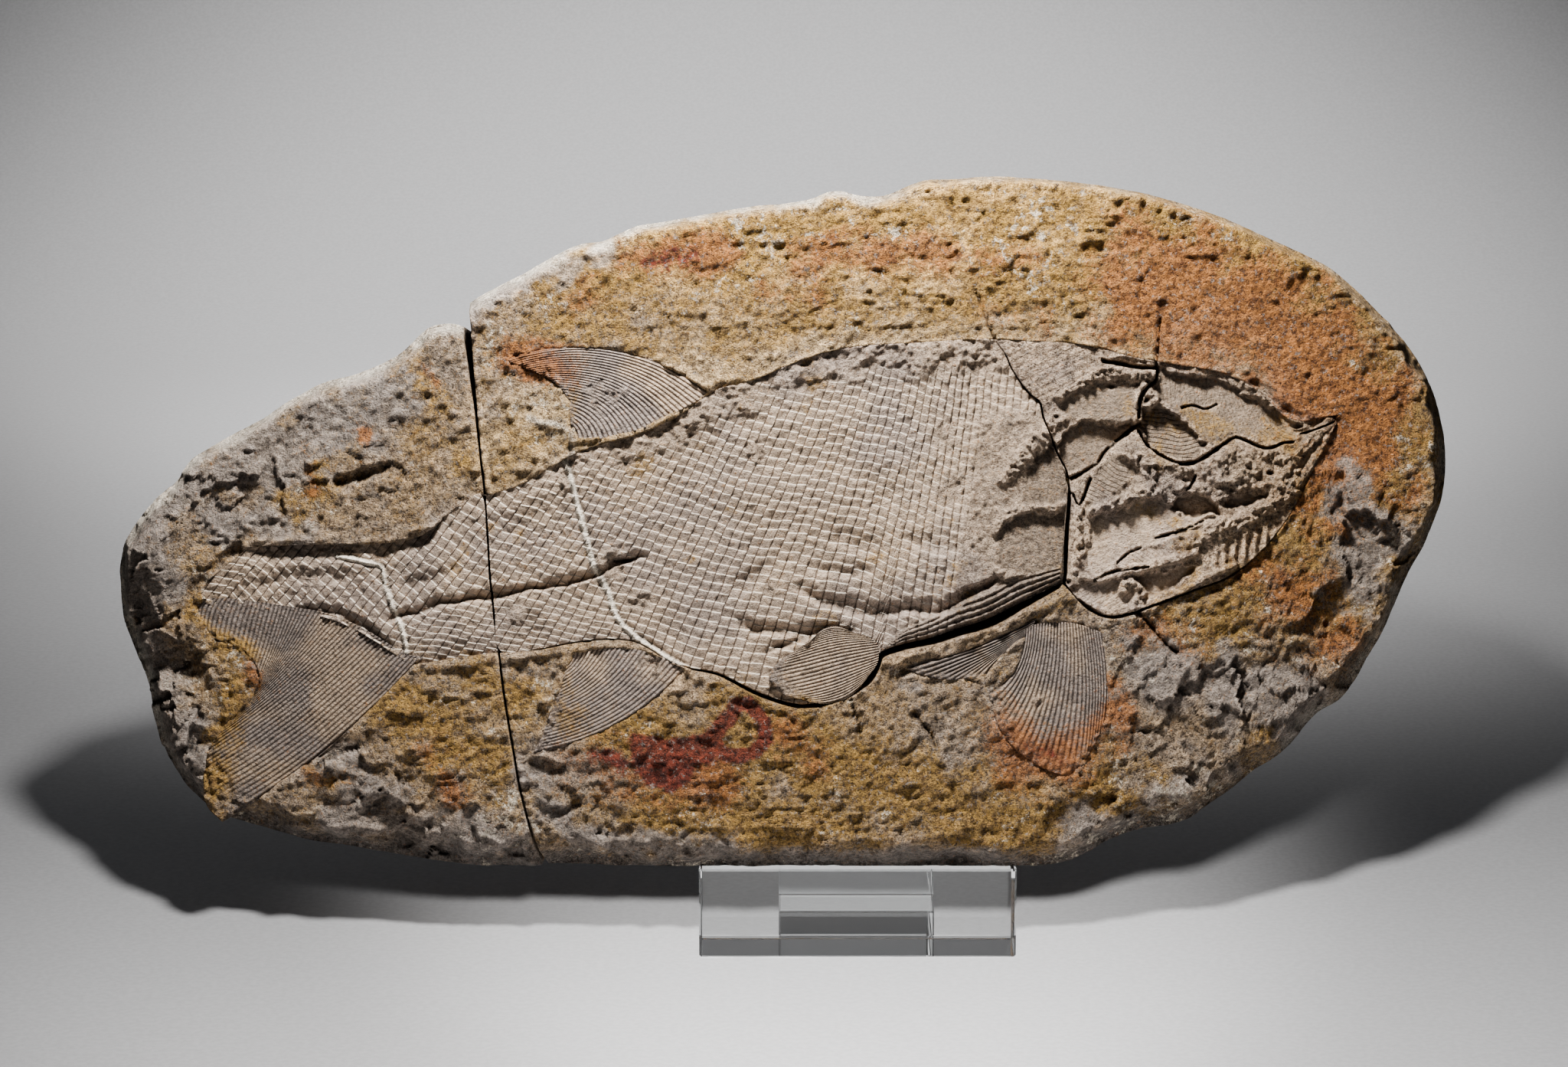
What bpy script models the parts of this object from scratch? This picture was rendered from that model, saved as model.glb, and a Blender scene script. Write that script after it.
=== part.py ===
"""Fossil fish in a split stone nodule, broken in two, leaning on a small clear acrylic display rest.

The two stones are worked out on the split face, in millimetres: a runs to the right and b up the face from the
point where the stone meets the rest, and c is the height out of the face. Outlines were read off a photograph of
2048 x 1393 pixels, taken square to the face, and they stay in those pixels until on_face() turns them to millimetres.
"""

import math

import bmesh
import bpy
import numpy as np
from mathutils import Matrix, Vector
from mathutils.geometry import delaunay_2d_cdt

MM = 0.001

# Driving dimensions, in millimetres
STONE_LENGTH = 291.0
STONE_THICKNESS = 36.0
RIM_DROP = 8.0
BAR_WIDTH = 69.7
BAR_DEPTH = 22.0
BAR_HEIGHT = 20.0
PLATE_WIDTH = 34.7
PLATE_THICKNESS = 6.0
PLATE_LENGTH = 86.0
FOOT_BACK = 72.0
TOUCHING_GAP = 0.3
GLUE_GAP = 0.3
EDGE_BEVEL = 0.4
LEAN = math.radians(12.0)

# The photograph's scale, from the stone's length between its two ends
TAIL_END_PX = 149.0
SNOUT_END_PX = 1895.0
PX_PER_MM = (SNOUT_END_PX - TAIL_END_PX) / STONE_LENGTH
REST_CENTRE_PX = 1121.0
REST_TOP_PX = 1134.0
STONE_CENTRE_PX = (1010.0, 690.0)

# Where the stone's widest outline meets the rest: behind the bar's front edge, a hair above its top
SEAT_Y = -BAR_DEPTH / 2 + 2.0
SEAT_Z = BAR_HEIGHT + TOUCHING_GAP

# Spacing of the points of the face, in millimetres
RIM_STEP = 4.4
FACE_STEP = 5.1
BACK_STEP = 11.0
EDGE_STEP = 4.0
RIM_CLEARANCE = 0.7

# The back: each ring is the rim drawn in towards the stone's centre by a share, at a height
BACK_RINGS = ((1.0, -13.0), (0.975, -21.0), (0.9, -29.0), (0.77, -34.5))
BACK_CAP_SHARE = 0.62

# Outer edges, from the photograph, clockwise from the break
TAIL_RIM_PX = [
    (706, 1128), (703, 1138), (690, 1139), (650, 1137), (600, 1131), (550, 1124), (500, 1116), (450, 1107),
    (400, 1100), (370, 1092), (330, 1080), (295, 1070), (273, 1060), (255, 1045), (235, 1025), (215, 995),
    (203, 965), (193, 930), (188, 900), (178, 870), (165, 840), (155, 815), (149, 780), (149, 740), (155, 712),
    (170, 685), (190, 660), (205, 645), (225, 625), (243, 600), (265, 585), (300, 565), (335, 547), (360, 530),
    (390, 512), (420, 497), (455, 488), (490, 475), (520, 458), (545, 435), (560, 424), (585, 420), (602, 424),
]
TAIL_BREAK_PX = [
    (602, 424), (606, 450), (612, 490), (619, 540), (625.5, 600), (630, 640), (634, 700), (637, 750),
    (642, 800), (649, 850), (655, 900), (663, 950), (670, 990), (677, 1030), (687, 1070), (697, 1105), (706, 1128),
]
MAIN_BREAK_PX = [
    (714, 1131), (701, 1105), (690.5, 1070), (680.5, 1030), (673.5, 990), (666.5, 950), (658.5, 900), (652.5, 850),
    (645.5, 800), (640.5, 750), (637.5, 700), (633.5, 640), (629, 600), (625, 560), (621, 510), (617, 460),
    (614, 420), (610, 393),
]
MAIN_RIM_PX = [
    (610, 393), (625, 383), (650, 370), (680, 355), (710, 338), (740, 322), (760, 315), (785, 312), (805, 303),
    (830, 292), (860, 287), (900, 280), (950, 271), (990, 265), (1020, 263), (1060, 256), (1080, 248), (1100, 246),
    (1120, 251), (1145, 253), (1165, 249), (1190, 238), (1215, 231), (1250, 230), (1300, 226), (1350, 229),
    (1400, 233), (1450, 240), (1500, 249), (1550, 263), (1600, 280), (1650, 302), (1700, 325), (1740, 345),
    (1765, 365), (1790, 388), (1820, 418), (1850, 455), (1870, 490), (1885, 530), (1893, 570), (1895, 610),
    (1890, 650), (1878, 685), (1865, 715), (1845, 750), (1830, 785), (1815, 820), (1795, 855), (1775, 890),
    (1755, 915), (1730, 930), (1710, 950), (1690, 975), (1665, 995), (1640, 1010), (1610, 1035), (1580, 1055),
    (1560, 1070), (1530, 1080), (1490, 1086), (1450, 1100), (1420, 1118), (1390, 1129), (1350, 1134), (1300, 1134),
    (1200, 1134), (1100, 1134), (1000, 1135), (912, 1136), (880, 1137), (850, 1136), (800, 1133), (750, 1131),
    (714, 1131),
]

# The worn edge between the front and the tail end's side wall, and how far that wall falls away, in millimetres
TAIL_WALL_PX = [(215, 560), (240, 640), (235, 700), (240, 760), (248, 830), (252, 900), (258, 960), (268, 1020),
                (280, 1075)]
TAIL_WALL_DROP = 9.0

# The fish: back and belly lines from the tail's tip to the snout
BACK_LINE_PX = [
    (268, 768), (285, 748), (305, 733), (330, 714), (400, 711), (450, 710), (500, 708), (540, 702), (562, 690),
    (580, 674), (600, 658), (625, 648), (650, 643), (680, 632), (710, 615), (735, 600), (755, 590), (790, 578),
    (830, 568), (860, 555), (890, 540), (915, 522), (940, 507), (985, 495), (1040, 472), (1080, 459), (1120, 452),
    (1200, 447), (1290, 444), (1390, 447), (1440, 455), (1480, 466), (1520, 471), (1590, 483), (1640, 508),
    (1675, 545), (1735, 546),
]
BELLY_LINE_PX = [
    (1745, 552), (1725, 585), (1700, 640), (1660, 705), (1600, 745), (1560, 770), (1500, 795), (1460, 806),
    (1400, 792), (1350, 790), (1300, 800), (1230, 822), (1150, 846), (1142, 885), (1105, 908), (1060, 921),
    (1020, 912), (985, 890), (930, 866), (895, 866), (850, 842), (800, 834), (760, 836), (700, 848), (650, 853),
    (600, 856), (560, 862), (520, 850), (480, 822), (440, 800), (380, 790), (310, 780),
]
BODY_DEPTH = 1.7
HEAD_START_PX = 1340.0
HEAD_DEPTH = 1.6

# Bones of the head: outline and height of each plate from the face, in millimetres
BONES = {
    "opercle": ([(1375, 575), (1400, 550), (1435, 547), (1485, 558), (1462, 580), (1432, 614), (1396, 625)], -5.2),
    "temporal": ([(1372, 520), (1420, 503), (1478, 505), (1484, 548), (1440, 545), (1385, 541)], -2.6),
    "skull_roof": ([(1512, 478), (1560, 490), (1602, 496), (1632, 515), (1660, 545), (1692, 560), (1690, 574),
                    (1655, 586), (1615, 574), (1572, 570), (1546, 545), (1506, 520)], -4.2),
    "frontal": ([(1495, 528), (1520, 530), (1552, 555), (1574, 576), (1562, 600), (1545, 604), (1518, 590),
                 (1492, 568)], -5.0),
    "cheek": ([(1410, 645), (1440, 595), (1472, 572), (1490, 582), (1482, 612), (1492, 630), (1455, 648)], -2.8),
    "preopercle": ([(1338, 615), (1375, 588), (1394, 640), (1388, 664), (1342, 668)], -4.0),
    "subopercle": ([(1304, 700), (1330, 673), (1388, 672), (1386, 742), (1312, 748)], -4.6),
    "maxilla": ([(1424, 676), (1500, 660), (1545, 682), (1598, 676), (1560, 702), (1500, 718), (1460, 740),
                 (1420, 752)], -5.2),
    "palate": ([(1530, 655), (1575, 652), (1592, 668), (1545, 670)], -6.4),
    "orbit": ([(1570, 606), (1608, 582), (1648, 592), (1654, 622), (1632, 642), (1590, 645)], -0.6),
    "throat_hollow": ([(1478, 756), (1560, 745), (1538, 768), (1500, 784)], -5.6),
    "jaw_joint": ([(1425, 770), (1450, 752), (1485, 765), (1488, 785), (1460, 798), (1430, 790)], -1.2),
    "dentary": ([(1560, 735), (1600, 690), (1650, 675), (1690, 640), (1712, 590), (1728, 580), (1702, 650),
                 (1660, 705), (1600, 748)], -1.2),
}
BONE_EDGE = 1.0

# Fins: outline, the centre that their rays fan from, how the rays curve, how many there are, and the fin's depth
FINS = {
    "dorsal_fin": {
        "outline": [(662, 470), (690, 456), (740, 452), (790, 456), (840, 468), (890, 492), (925, 512), (880, 540),
                    (830, 560), (762, 578), (748, 560), (745, 520), (705, 492)],
        "fan": (150, 345), "curl": 0.0006, "rays": 15, "depth": 0.7},
    "tail_fin": {
        "outline": [(545, 868), (500, 905), (450, 942), (400, 968), (375, 1005), (345, 1040), (318, 1066), (288, 1066),
                    (272, 1050), (280, 1005), (300, 960), (335, 900), (338, 850), (300, 815), (268, 790), (310, 784),
                    (380, 793), (440, 803), (490, 830), (525, 855)],
        "fan": (600, 735), "curl": 0.0004, "rays": 26, "depth": 0.9},
    "anal_fin": {
        "outline": [(745, 856), (800, 846), (850, 852), (885, 868), (880, 892), (845, 922), (800, 948), (750, 968),
                    (712, 976), (735, 930), (752, 890)],
        "fan": (1150, 640), "curl": 0.0006, "rays": 14, "depth": 0.8},
    "pectoral_fin": {
        "outline": [(1345, 812), (1390, 806), (1428, 822), (1438, 880), (1430, 950), (1402, 1000), (1358, 990),
                    (1318, 955), (1296, 915), (1298, 880), (1330, 850)],
        "fan": (1400, 610), "curl": 0.0009, "rays": 12, "depth": 0.6},
    "pelvic_fin": {
        "outline": [(1146, 846), (1120, 828), (1085, 830), (1045, 848), (1015, 868), (1006, 884), (1024, 902),
                    (1052, 912), (1090, 902), (1124, 888), (1136, 868)],
        "fan": (1330, 740), "curl": -0.0012, "rays": 9, "depth": 0.3},
}
RAY_HEIGHT = 0.45

# Rows of scales on the flank, as seen from a step away: every second row is raised in the solid
ROW_PITCH = 4.9
ROW_HEIGHT = 0.4
ROW_SLANT_TAIL = 0.85
ROW_SLANT_HEAD = 0.3

# Open cracks: centre line, half width and depth in millimetres
CRACKS = {
    "neck_crack": ([(1276, 385), (1290, 412), (1300, 448), (1322, 492), (1352, 520), (1372, 575), (1392, 622),
                    (1397, 660), (1391, 710), (1392, 762)], 0.65, 5.0),
    "shoulder_crack": ([(1392, 762), (1350, 780), (1300, 806), (1240, 830), (1190, 842), (1152, 850), (1145, 882),
                        (1118, 904), (1062, 922), (1015, 912), (975, 892), (935, 876)], 0.95, 5.0),
    "cheek_crack": ([(1398, 625), (1430, 614), (1462, 582), (1488, 562), (1490, 520), (1512, 492), (1508, 452),
                     (1516, 425)], 0.55, 3.5),
}
GLUED_SEAM_PX = [(738, 606), (752, 652), (764, 702), (776, 742), (792, 780), (806, 822), (842, 856), (880, 876)]

# Chips and hollows of the rough stone: centre, half length, half height, turn in degrees, depth (minus is a rise)
HOLLOWS = (
    ((1700, 690), 60, 40, 30, 1.6), ((1790, 690), 45, 30, -40, 2.4), ((1640, 900), 110, 28, -20, 2.6),
    ((1560, 940), 70, 30, -10, 1.8), ((1740, 820), 60, 20, -40, -2.2), ((470, 640), 55, 14, -12, 2.2),
    ((290, 620), 45, 16, -10, 1.8), ((250, 690), 50, 40, 20, 1.5), ((195, 800), 40, 75, -18, 4.0),
    ((450, 1030), 95, 36, 16, 3.2), ((560, 1075), 90, 26, 30, 2.6), ((735, 1075), 38, 30, 10, 2.6),
    ((1520, 870), 70, 26, -15, -1.6), ((300, 690), 60, 30, 0, 1.2), ((1655, 1000), 50, 30, -30, 1.6),
    ((690, 1010), 40, 30, 20, -0.9), ((560, 640), 60, 30, 0, -0.5), ((1310, 870), 45, 20, -30, -0.8),
)


def on_face(points):
    """Photograph pixels to millimetres on the face."""
    px = np.asarray(points, float).reshape(-1, 2)
    return np.column_stack(((px[:, 0] - REST_CENTRE_PX) / PX_PER_MM, (REST_TOP_PX - px[:, 1]) / PX_PER_MM))


STONE_CENTRE = on_face(STONE_CENTRE_PX)[0]


def resample(line, step, closed=False):
    """Points at an even step along a smooth curve through the line's points (Catmull-Rom)."""
    line = np.asarray(line, float)
    ends = (line[-1], line[0], line[1]) if closed else (2 * line[0] - line[1], line[-1], 2 * line[-1] - line[-2])
    if closed:
        padded = np.vstack((ends[0], line, ends[1], ends[2]))
    else:
        padded = np.vstack((ends[0], line, ends[2]))
    share = np.linspace(0, 1, 12, endpoint=False)[:, None]
    pieces = []
    for p0, p1, p2, p3 in zip(padded, padded[1:], padded[2:], padded[3:]):
        pieces.append(0.5 * (2 * p1 + (p2 - p0) * share + (2 * p0 - 5 * p1 + 4 * p2 - p3) * share**2
                             + (3 * p1 - p0 - 3 * p2 + p3) * share**3))
    dense = np.vstack(pieces + [padded[-2][None]])
    walked = np.concatenate(([0], np.cumsum(np.linalg.norm(np.diff(dense, axis=0), axis=1))))
    count = max(2, round(walked[-1] / step)) + 1
    at = np.linspace(0, walked[-1], count)
    even = np.column_stack([np.interp(at, walked, dense[:, k]) for k in (0, 1)])
    return even[:-1] if closed else even


def distance_to(points, line, closed=False):
    """Distance of each point to a line of straight runs."""
    starts = np.asarray(line, float)
    stops = np.roll(starts, -1, axis=0) if closed else starts[1:]
    starts = starts if closed else starts[:-1]
    nearest = np.full(len(points), np.inf)
    for start, stop in zip(starts, stops):
        run = stop - start
        share = np.clip(((points - start) @ run) / max(run @ run, 1e-12), 0, 1)
        nearest = np.minimum(nearest, np.linalg.norm(points - start - share[:, None] * run, axis=1))
    return nearest


def is_inside(points, outline):
    """True for each point inside a closed outline, by counting crossings."""
    inside = np.zeros(len(points), bool)
    for (a0, b0), (a1, b1) in zip(outline, np.roll(outline, -1, axis=0)):
        if b0 != b1:
            crosses = (b0 > points[:, 1]) != (b1 > points[:, 1])
            inside ^= crosses & (points[:, 0] < (a1 - a0) * (points[:, 1] - b0) / (b1 - b0) + a0)
    return inside


def depth_inside(points, outline):
    """Signed distance to a closed outline, positive inside."""
    return np.where(is_inside(points, outline), 1, -1) * distance_to(points, outline, closed=True)


def ramp(value, width):
    """0 to 1 with soft ends as value goes from 0 to width."""
    share = np.clip(value / width, 0, 1)
    return share * share * (3 - 2 * share)


def noise(a, b, size, seed):
    """Smooth seeded noise from -1 to 1 on a lattice of the given size in millimetres."""
    lattice = np.random.default_rng(seed).uniform(-1, 1, (64, 64))
    x, y = a / size + 500, b / size + 500
    i, j = np.floor(x).astype(int), np.floor(y).astype(int)
    fx, fy = ramp(x - i, 1), ramp(y - j, 1)
    i, j = i % 63, j % 63
    low = lattice[i, j] * (1 - fx) + lattice[i + 1, j] * fx
    high = lattice[i, j + 1] * (1 - fx) + lattice[i + 1, j + 1] * fx
    return low * (1 - fy) + high * fy


TAIL_RIM = resample(on_face(TAIL_RIM_PX), RIM_STEP)
TAIL_BREAK = resample(on_face(TAIL_BREAK_PX), RIM_STEP)
MAIN_BREAK = resample(on_face(MAIN_BREAK_PX), RIM_STEP)
MAIN_RIM = resample(on_face(MAIN_RIM_PX), RIM_STEP)
FISH = resample(on_face(BACK_LINE_PX + BELLY_LINE_PX), EDGE_STEP, closed=True)
PELVIC_FIN = resample(on_face(FINS["pelvic_fin"]["outline"]), EDGE_STEP, closed=True)
TAIL_WALL = resample(on_face(TAIL_WALL_PX), RIM_STEP)
HEAD_START = (HEAD_START_PX - REST_CENTRE_PX) / PX_PER_MM


def fan_angle(points, fin):
    """Angle of each point round the centre of a fin's rays, taken back along the rays' curve."""
    centre = on_face(fin["fan"])[0]
    out = points - centre
    reach = np.linalg.norm(out, axis=1)
    return np.arctan2(out[:, 1], out[:, 0]) - fin["curl"] * PX_PER_MM * reach


def row_coordinate(points):
    """Distance along the fish that stays the same along a slanting row of scales."""
    along = np.interp(points[:, 0], (-90, 30), (ROW_SLANT_TAIL, ROW_SLANT_HEAD))
    middle = np.interp(points[:, 0], (-100, -20, 45), (62, 80, 84))
    return points[:, 0] - along * (points[:, 1] - middle)


def triangle_wave(phase):
    """A ridge line at whole numbers and a valley half way between, from -1 to 1."""
    return 4 * np.abs(phase - np.floor(phase) - 0.5) - 1


def rim_height(points):
    """How the face falls away towards the rim, and down the side wall at the tail's end."""
    rim_distance = np.minimum(distance_to(points, TAIL_RIM), distance_to(points, MAIN_RIM))
    width = np.interp(points[:, 1], (0, 30, 110, 150), (6.5, 6.0, 4.0, 2.6))
    drop = RIM_DROP * (1 - ramp(rim_distance + 0.2, width))
    wall_a = np.interp(points[:, 1], TAIL_WALL[::-1, 1], TAIL_WALL[::-1, 0])
    wall = TAIL_WALL_DROP * ramp(wall_a - points[:, 0], 17.0)
    return -np.maximum(drop, wall)


def stone_height(points):
    """Height of the face without the fish: broad swells, rough grain, hollows and the rim."""
    a, b = points[:, 0], points[:, 1]
    height = 0.7 * noise(a, b, 38, 3) + rim_height(points)
    clear = 1 - ramp(depth_inside(points, FISH) + 1, 2)
    height += clear * (0.6 * noise(a, b, 9, 5) + 0.35 * noise(a, b, 4.6, 7))
    for centre, half_a, half_b, turn, depth in HOLLOWS:
        out = points - on_face(centre)[0]
        cos, sin = math.cos(math.radians(turn)), math.sin(math.radians(turn))
        along = (out[:, 0] * cos + out[:, 1] * sin) * PX_PER_MM / half_a
        across = (out[:, 1] * cos - out[:, 0] * sin) * PX_PER_MM / half_b
        height -= depth * clear * (1 - ramp(np.hypot(along, across) - 0.5, 0.75))
    return height


def fish_height(points):
    """How far the fish lies under the face: body, scale rows, fins with rays, bones of the head."""
    inside = depth_inside(points, FISH)
    body = ramp(inside, 1.0)
    head = body * ramp(points[:, 0] - HEAD_START, 12)
    height = -BODY_DEPTH * body - HEAD_DEPTH * head
    rows = ROW_HEIGHT * triangle_wave(row_coordinate(points) / ROW_PITCH)
    rows *= ramp(-depth_inside(points, PELVIC_FIN), 1.0) * (1 - ramp(points[:, 0] - HEAD_START + 8, 8))
    height += rows * ramp(inside - 1, 1.5)
    for fin in FINS.values():
        outline = resample(on_face(fin["outline"]), EDGE_STEP, closed=True)
        angles = fan_angle(outline, fin)
        phase = (fan_angle(points, fin) - angles.min()) / (angles.max() - angles.min()) * fin["rays"]
        cover = ramp(depth_inside(points, outline), 0.8)
        height += cover * (RAY_HEIGHT * triangle_wave(phase) - fin["depth"])
    for outline_px, level in BONES.values():
        cover = ramp(depth_inside(points, on_face(outline_px)), BONE_EDGE)
        height = height * (1 - cover) + level * cover
    return height


def crack_height(points):
    """Depth of the open cracks, and of the shallow glued seam."""
    height = np.zeros(len(points))
    for line_px, half_width, depth in CRACKS.values():
        near = distance_to(points, resample(on_face(line_px), EDGE_STEP))
        height = np.minimum(height, -depth * (1 - ramp(near - 0.15, half_width)))
    seam = distance_to(points, resample(on_face(GLUED_SEAM_PX), EDGE_STEP))
    return np.minimum(height, -0.9 * (1 - ramp(seam - 0.1, 0.6)))


def face_height(points):
    return stone_height(points) + fish_height(points) + crack_height(points)


def drawn_in(outline, distance):
    """A closed outline moved inwards by a distance, each point along its own normal."""
    before, after = np.roll(outline, 1, axis=0), np.roll(outline, -1, axis=0)
    run = after - before
    normal = np.column_stack((-run[:, 1], run[:, 0])) / np.linalg.norm(run, axis=1)[:, None]
    moved = outline + normal * distance
    if is_inside(moved, outline).mean() < 0.5:
        moved = outline - normal * distance
    return moved


def beside(line, distance):
    """An open line moved sideways by a distance."""
    run = np.gradient(line, axis=0)
    normal = np.column_stack((-run[:, 1], run[:, 0])) / np.linalg.norm(run, axis=1)[:, None]
    return line + normal * distance


def runs_inside(line, outline):
    """The stretches of a line whose points lie inside an outline."""
    kept, run = [], []
    for point, inside in zip(line, is_inside(line, outline)):
        if inside:
            run.append(point)
        elif run:
            kept.append(np.array(run))
            run = []
    if run:
        kept.append(np.array(run))
    return [r for r in kept if len(r) > 1]


def ray_lines():
    """Ridge and valley lines of every fin's rays."""
    lines = []
    for fin in FINS.values():
        outline = resample(on_face(fin["outline"]), EDGE_STEP, closed=True)
        centre = on_face(fin["fan"])[0]
        angles = fan_angle(outline, fin)
        reaches = np.linalg.norm(outline - centre, axis=1)
        shrunk = drawn_in(outline, 0.9)
        for half_step in range(1, 2 * fin["rays"]):
            angle = angles.min() + (angles.max() - angles.min()) * half_step / (2 * fin["rays"])
            reach = np.arange(reaches.min(), reaches.max(), 6.5)
            turned = angle + fin["curl"] * PX_PER_MM * reach
            line = centre + np.column_stack((np.cos(turned), np.sin(turned))) * reach[:, None]
            lines += [run[np.abs(depth_inside(run, FISH)) > 0.8] for run in runs_inside(line, shrunk)]
    return [line for line in lines if len(line) > 1]


def row_lines():
    """Ridge and valley lines of the rows of scales."""
    lines = []
    shrunk = drawn_in(FISH, 2.0)
    b = np.arange(30, 120, 6.2)
    for half_row in range(-58, 22):
        target = half_row * ROW_PITCH / 2
        a = np.full(len(b), target)
        for _ in range(12):
            a += target - row_coordinate(np.column_stack((a, b)))
        line = np.column_stack((a, b))
        line = line[(a < HEAD_START - 2) & ~is_inside(line, PELVIC_FIN)]
        lines += runs_inside(line, shrunk)
    return lines


def feature_lines():
    """Lines that the face's triangles follow, each with whether it closes on itself."""
    lines = [(FISH, True), (drawn_in(FISH, 1.0), True)]
    for fin in FINS.values():
        outline = resample(on_face(fin["outline"]), EDGE_STEP, closed=True)
        lines += [(outline, True), (drawn_in(outline, 0.8), True)]
    for outline_px, _ in BONES.values():
        outline = on_face(outline_px)
        lines += [(outline, True), (drawn_in(outline, BONE_EDGE), True)]
    for line_px, half_width, _ in CRACKS.values():
        line = resample(on_face(line_px), EDGE_STEP)
        lines += [(line, False), (beside(line, half_width + 0.15), False), (beside(line, -half_width - 0.15), False)]
    seam = resample(on_face(GLUED_SEAM_PX), EDGE_STEP)
    lines += [(seam, False), (beside(seam, 0.7), False), (beside(seam, -0.7), False)]
    lines += [(line, False) for line in ray_lines() + row_lines()]
    return lines


def scattered(outline, step, seed):
    """Points on a jittered honeycomb inside an outline."""
    low, high = outline.min(0), outline.max(0)
    rows = np.arange(low[1], high[1], step * 0.866)
    points = []
    for number, b in enumerate(rows):
        a = np.arange(low[0] + (number % 2) * step / 2, high[0], step)
        points.append(np.column_stack((a, np.full(len(a), b))))
    points = np.vstack(points)
    points += np.random.default_rng(seed).uniform(-0.28, 0.28, points.shape) * step
    return points[depth_inside(points, outline) > step * 0.45]


def triangulate(outline, lines, extra):
    """Triangles inside an outline that follow the lines and use the extra points.

    The outline's own points come first and in order, so that a wall can be joined to them."""
    points = [Vector(p) for p in outline]
    edges = [(k, (k + 1) % len(outline)) for k in range(len(outline))]
    for line, closed in lines:
        place = np.full(len(line), -1)
        inside = np.flatnonzero(depth_inside(line, outline) > RIM_CLEARANCE)
        place[inside] = len(points) + np.arange(len(inside))
        points += [Vector(p) for p in line[inside]]
        pairs = list(zip(place, place[1:])) + ([(place[-1], place[0])] if closed else [])
        edges += [(int(one), int(other)) for one, other in pairs if one >= 0 and other >= 0]
    points += [Vector(p) for p in extra]
    made, _, faces, origins, _, _ = delaunay_2d_cdt(points, edges, [], 0, 1e-4, True)
    flat = np.array([tuple(p) for p in made])
    middles = np.array([flat[list(face)].mean(0) for face in faces])
    faces = [tuple(face) for face, inside in zip(faces, is_inside(middles, outline)) if inside]
    used_by = {original: new for new, group in enumerate(origins) for original in group}
    border = [used_by[k] for k in range(len(outline))]
    return flat, faces, border


def away_from(points, lines, distance):
    """The points that are further than a distance from every line."""
    keep = np.ones(len(points), bool)
    for line, closed in lines:
        near = line.min(0) - distance, line.max(0) + distance
        close = keep & np.all((points > near[0]) & (points < near[1]), axis=1)
        keep[close] = distance_to(points[close], line, closed) > distance
    return points[keep]


def to_world(points, heights):
    """Face millimetres and heights to metres in the leaning pose."""
    y = SEAT_Y + points[:, 1] * math.sin(LEAN) - (heights + RIM_DROP) * math.cos(LEAN)
    z = SEAT_Z + points[:, 1] * math.cos(LEAN) + (heights + RIM_DROP) * math.sin(LEAN)
    return np.column_stack((points[:, 0], y, np.maximum(z, SEAT_Z))) * MM


def back_ring(outline, share, height, seed):
    """The rim drawn in towards the stone's centre, with a rough surface where it isn't the break."""
    drawn = STONE_CENTRE + (outline - STONE_CENTRE) * share
    break_distance = np.minimum(distance_to(outline, TAIL_BREAK), distance_to(outline, MAIN_BREAK))
    free = ramp(break_distance - 1.5, 8)
    rough = noise(outline[:, 0], outline[:, 1], 13, seed) * free
    drawn += (outline - STONE_CENTRE) * (0.014 * rough)[:, None]
    heights = height + 1.1 * noise(outline[:, 0], outline[:, 1], 17, seed + 1) * free
    return drawn, np.maximum(heights, -STONE_THICKNESS)


def stone(name, outline, lines, seed):
    """One closed stone: the relief of the face, a side wall of rings, and a rough flat back."""
    extra = away_from(scattered(outline, FACE_STEP, seed), lines, 0.42 * FACE_STEP)
    flat, faces, border = triangulate(outline, lines, extra)
    layers = [to_world(flat, face_height(flat))]
    rim = flat[border]
    for number, (share, height) in enumerate(BACK_RINGS):
        drawn, heights = back_ring(rim, share, height, seed + 10 * number)
        layers.append(to_world(drawn, heights))
    cap_outline = STONE_CENTRE + (rim - STONE_CENTRE) * BACK_CAP_SHARE
    cap, cap_faces, cap_border = triangulate(cap_outline, [], scattered(cap_outline, BACK_STEP, seed))
    cap_heights = -STONE_THICKNESS + 1.6 * np.maximum(noise(cap[:, 0], cap[:, 1], 15, seed + 2), -0.2) + 0.32
    layers.append(to_world(cap, np.maximum(cap_heights, -STONE_THICKNESS)))

    starts = np.cumsum([0] + [len(layer) for layer in layers])
    mesh = bmesh.new()
    for point in np.vstack(layers):
        mesh.verts.new(point)
    mesh.verts.ensure_lookup_table()
    count = len(rim)
    loops = [border]
    loops += [[starts[number + 1] + k for k in range(count)] for number in range(len(BACK_RINGS))]
    loops.append([starts[-2] + k for k in cap_border])
    for face in faces:
        mesh.faces.new([mesh.verts[k] for k in face])
    for face in cap_faces:
        mesh.faces.new([mesh.verts[starts[-2] + k] for k in reversed(face)])
    for loop, next_loop in zip(loops, loops[1:]):
        for k in range(count):
            after = (k + 1) % count
            mesh.faces.new([mesh.verts[i] for i in (loop[k], next_loop[k], next_loop[after], loop[after])])
    bmesh.ops.triangulate(mesh, faces=[f for f in mesh.faces if len(f.verts) > 3])
    bmesh.ops.recalc_face_normals(mesh, faces=mesh.faces)
    data = bpy.data.meshes.new(name)
    mesh.to_mesh(data)
    mesh.free()
    return bpy.data.objects.new(name, data)


def block(name, size, centre, turn=0.0):
    """A plain acrylic plate with crisp, slightly eased edges. Size and centre in millimetres."""
    mesh = bmesh.new()
    bmesh.ops.create_cube(mesh, size=1.0)
    bmesh.ops.scale(mesh, vec=Vector(size) * MM, verts=mesh.verts)
    data = bpy.data.meshes.new(name)
    mesh.to_mesh(data)
    mesh.free()
    made = bpy.data.objects.new(name, data)
    made.matrix_world = Matrix.Translation(Vector(centre) * MM) @ Matrix.Rotation(turn, 4, "X")
    bevel = made.modifiers.new("eased edges", "BEVEL")
    bevel.width = EDGE_BEVEL * MM
    bevel.segments = 1
    return made


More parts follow.
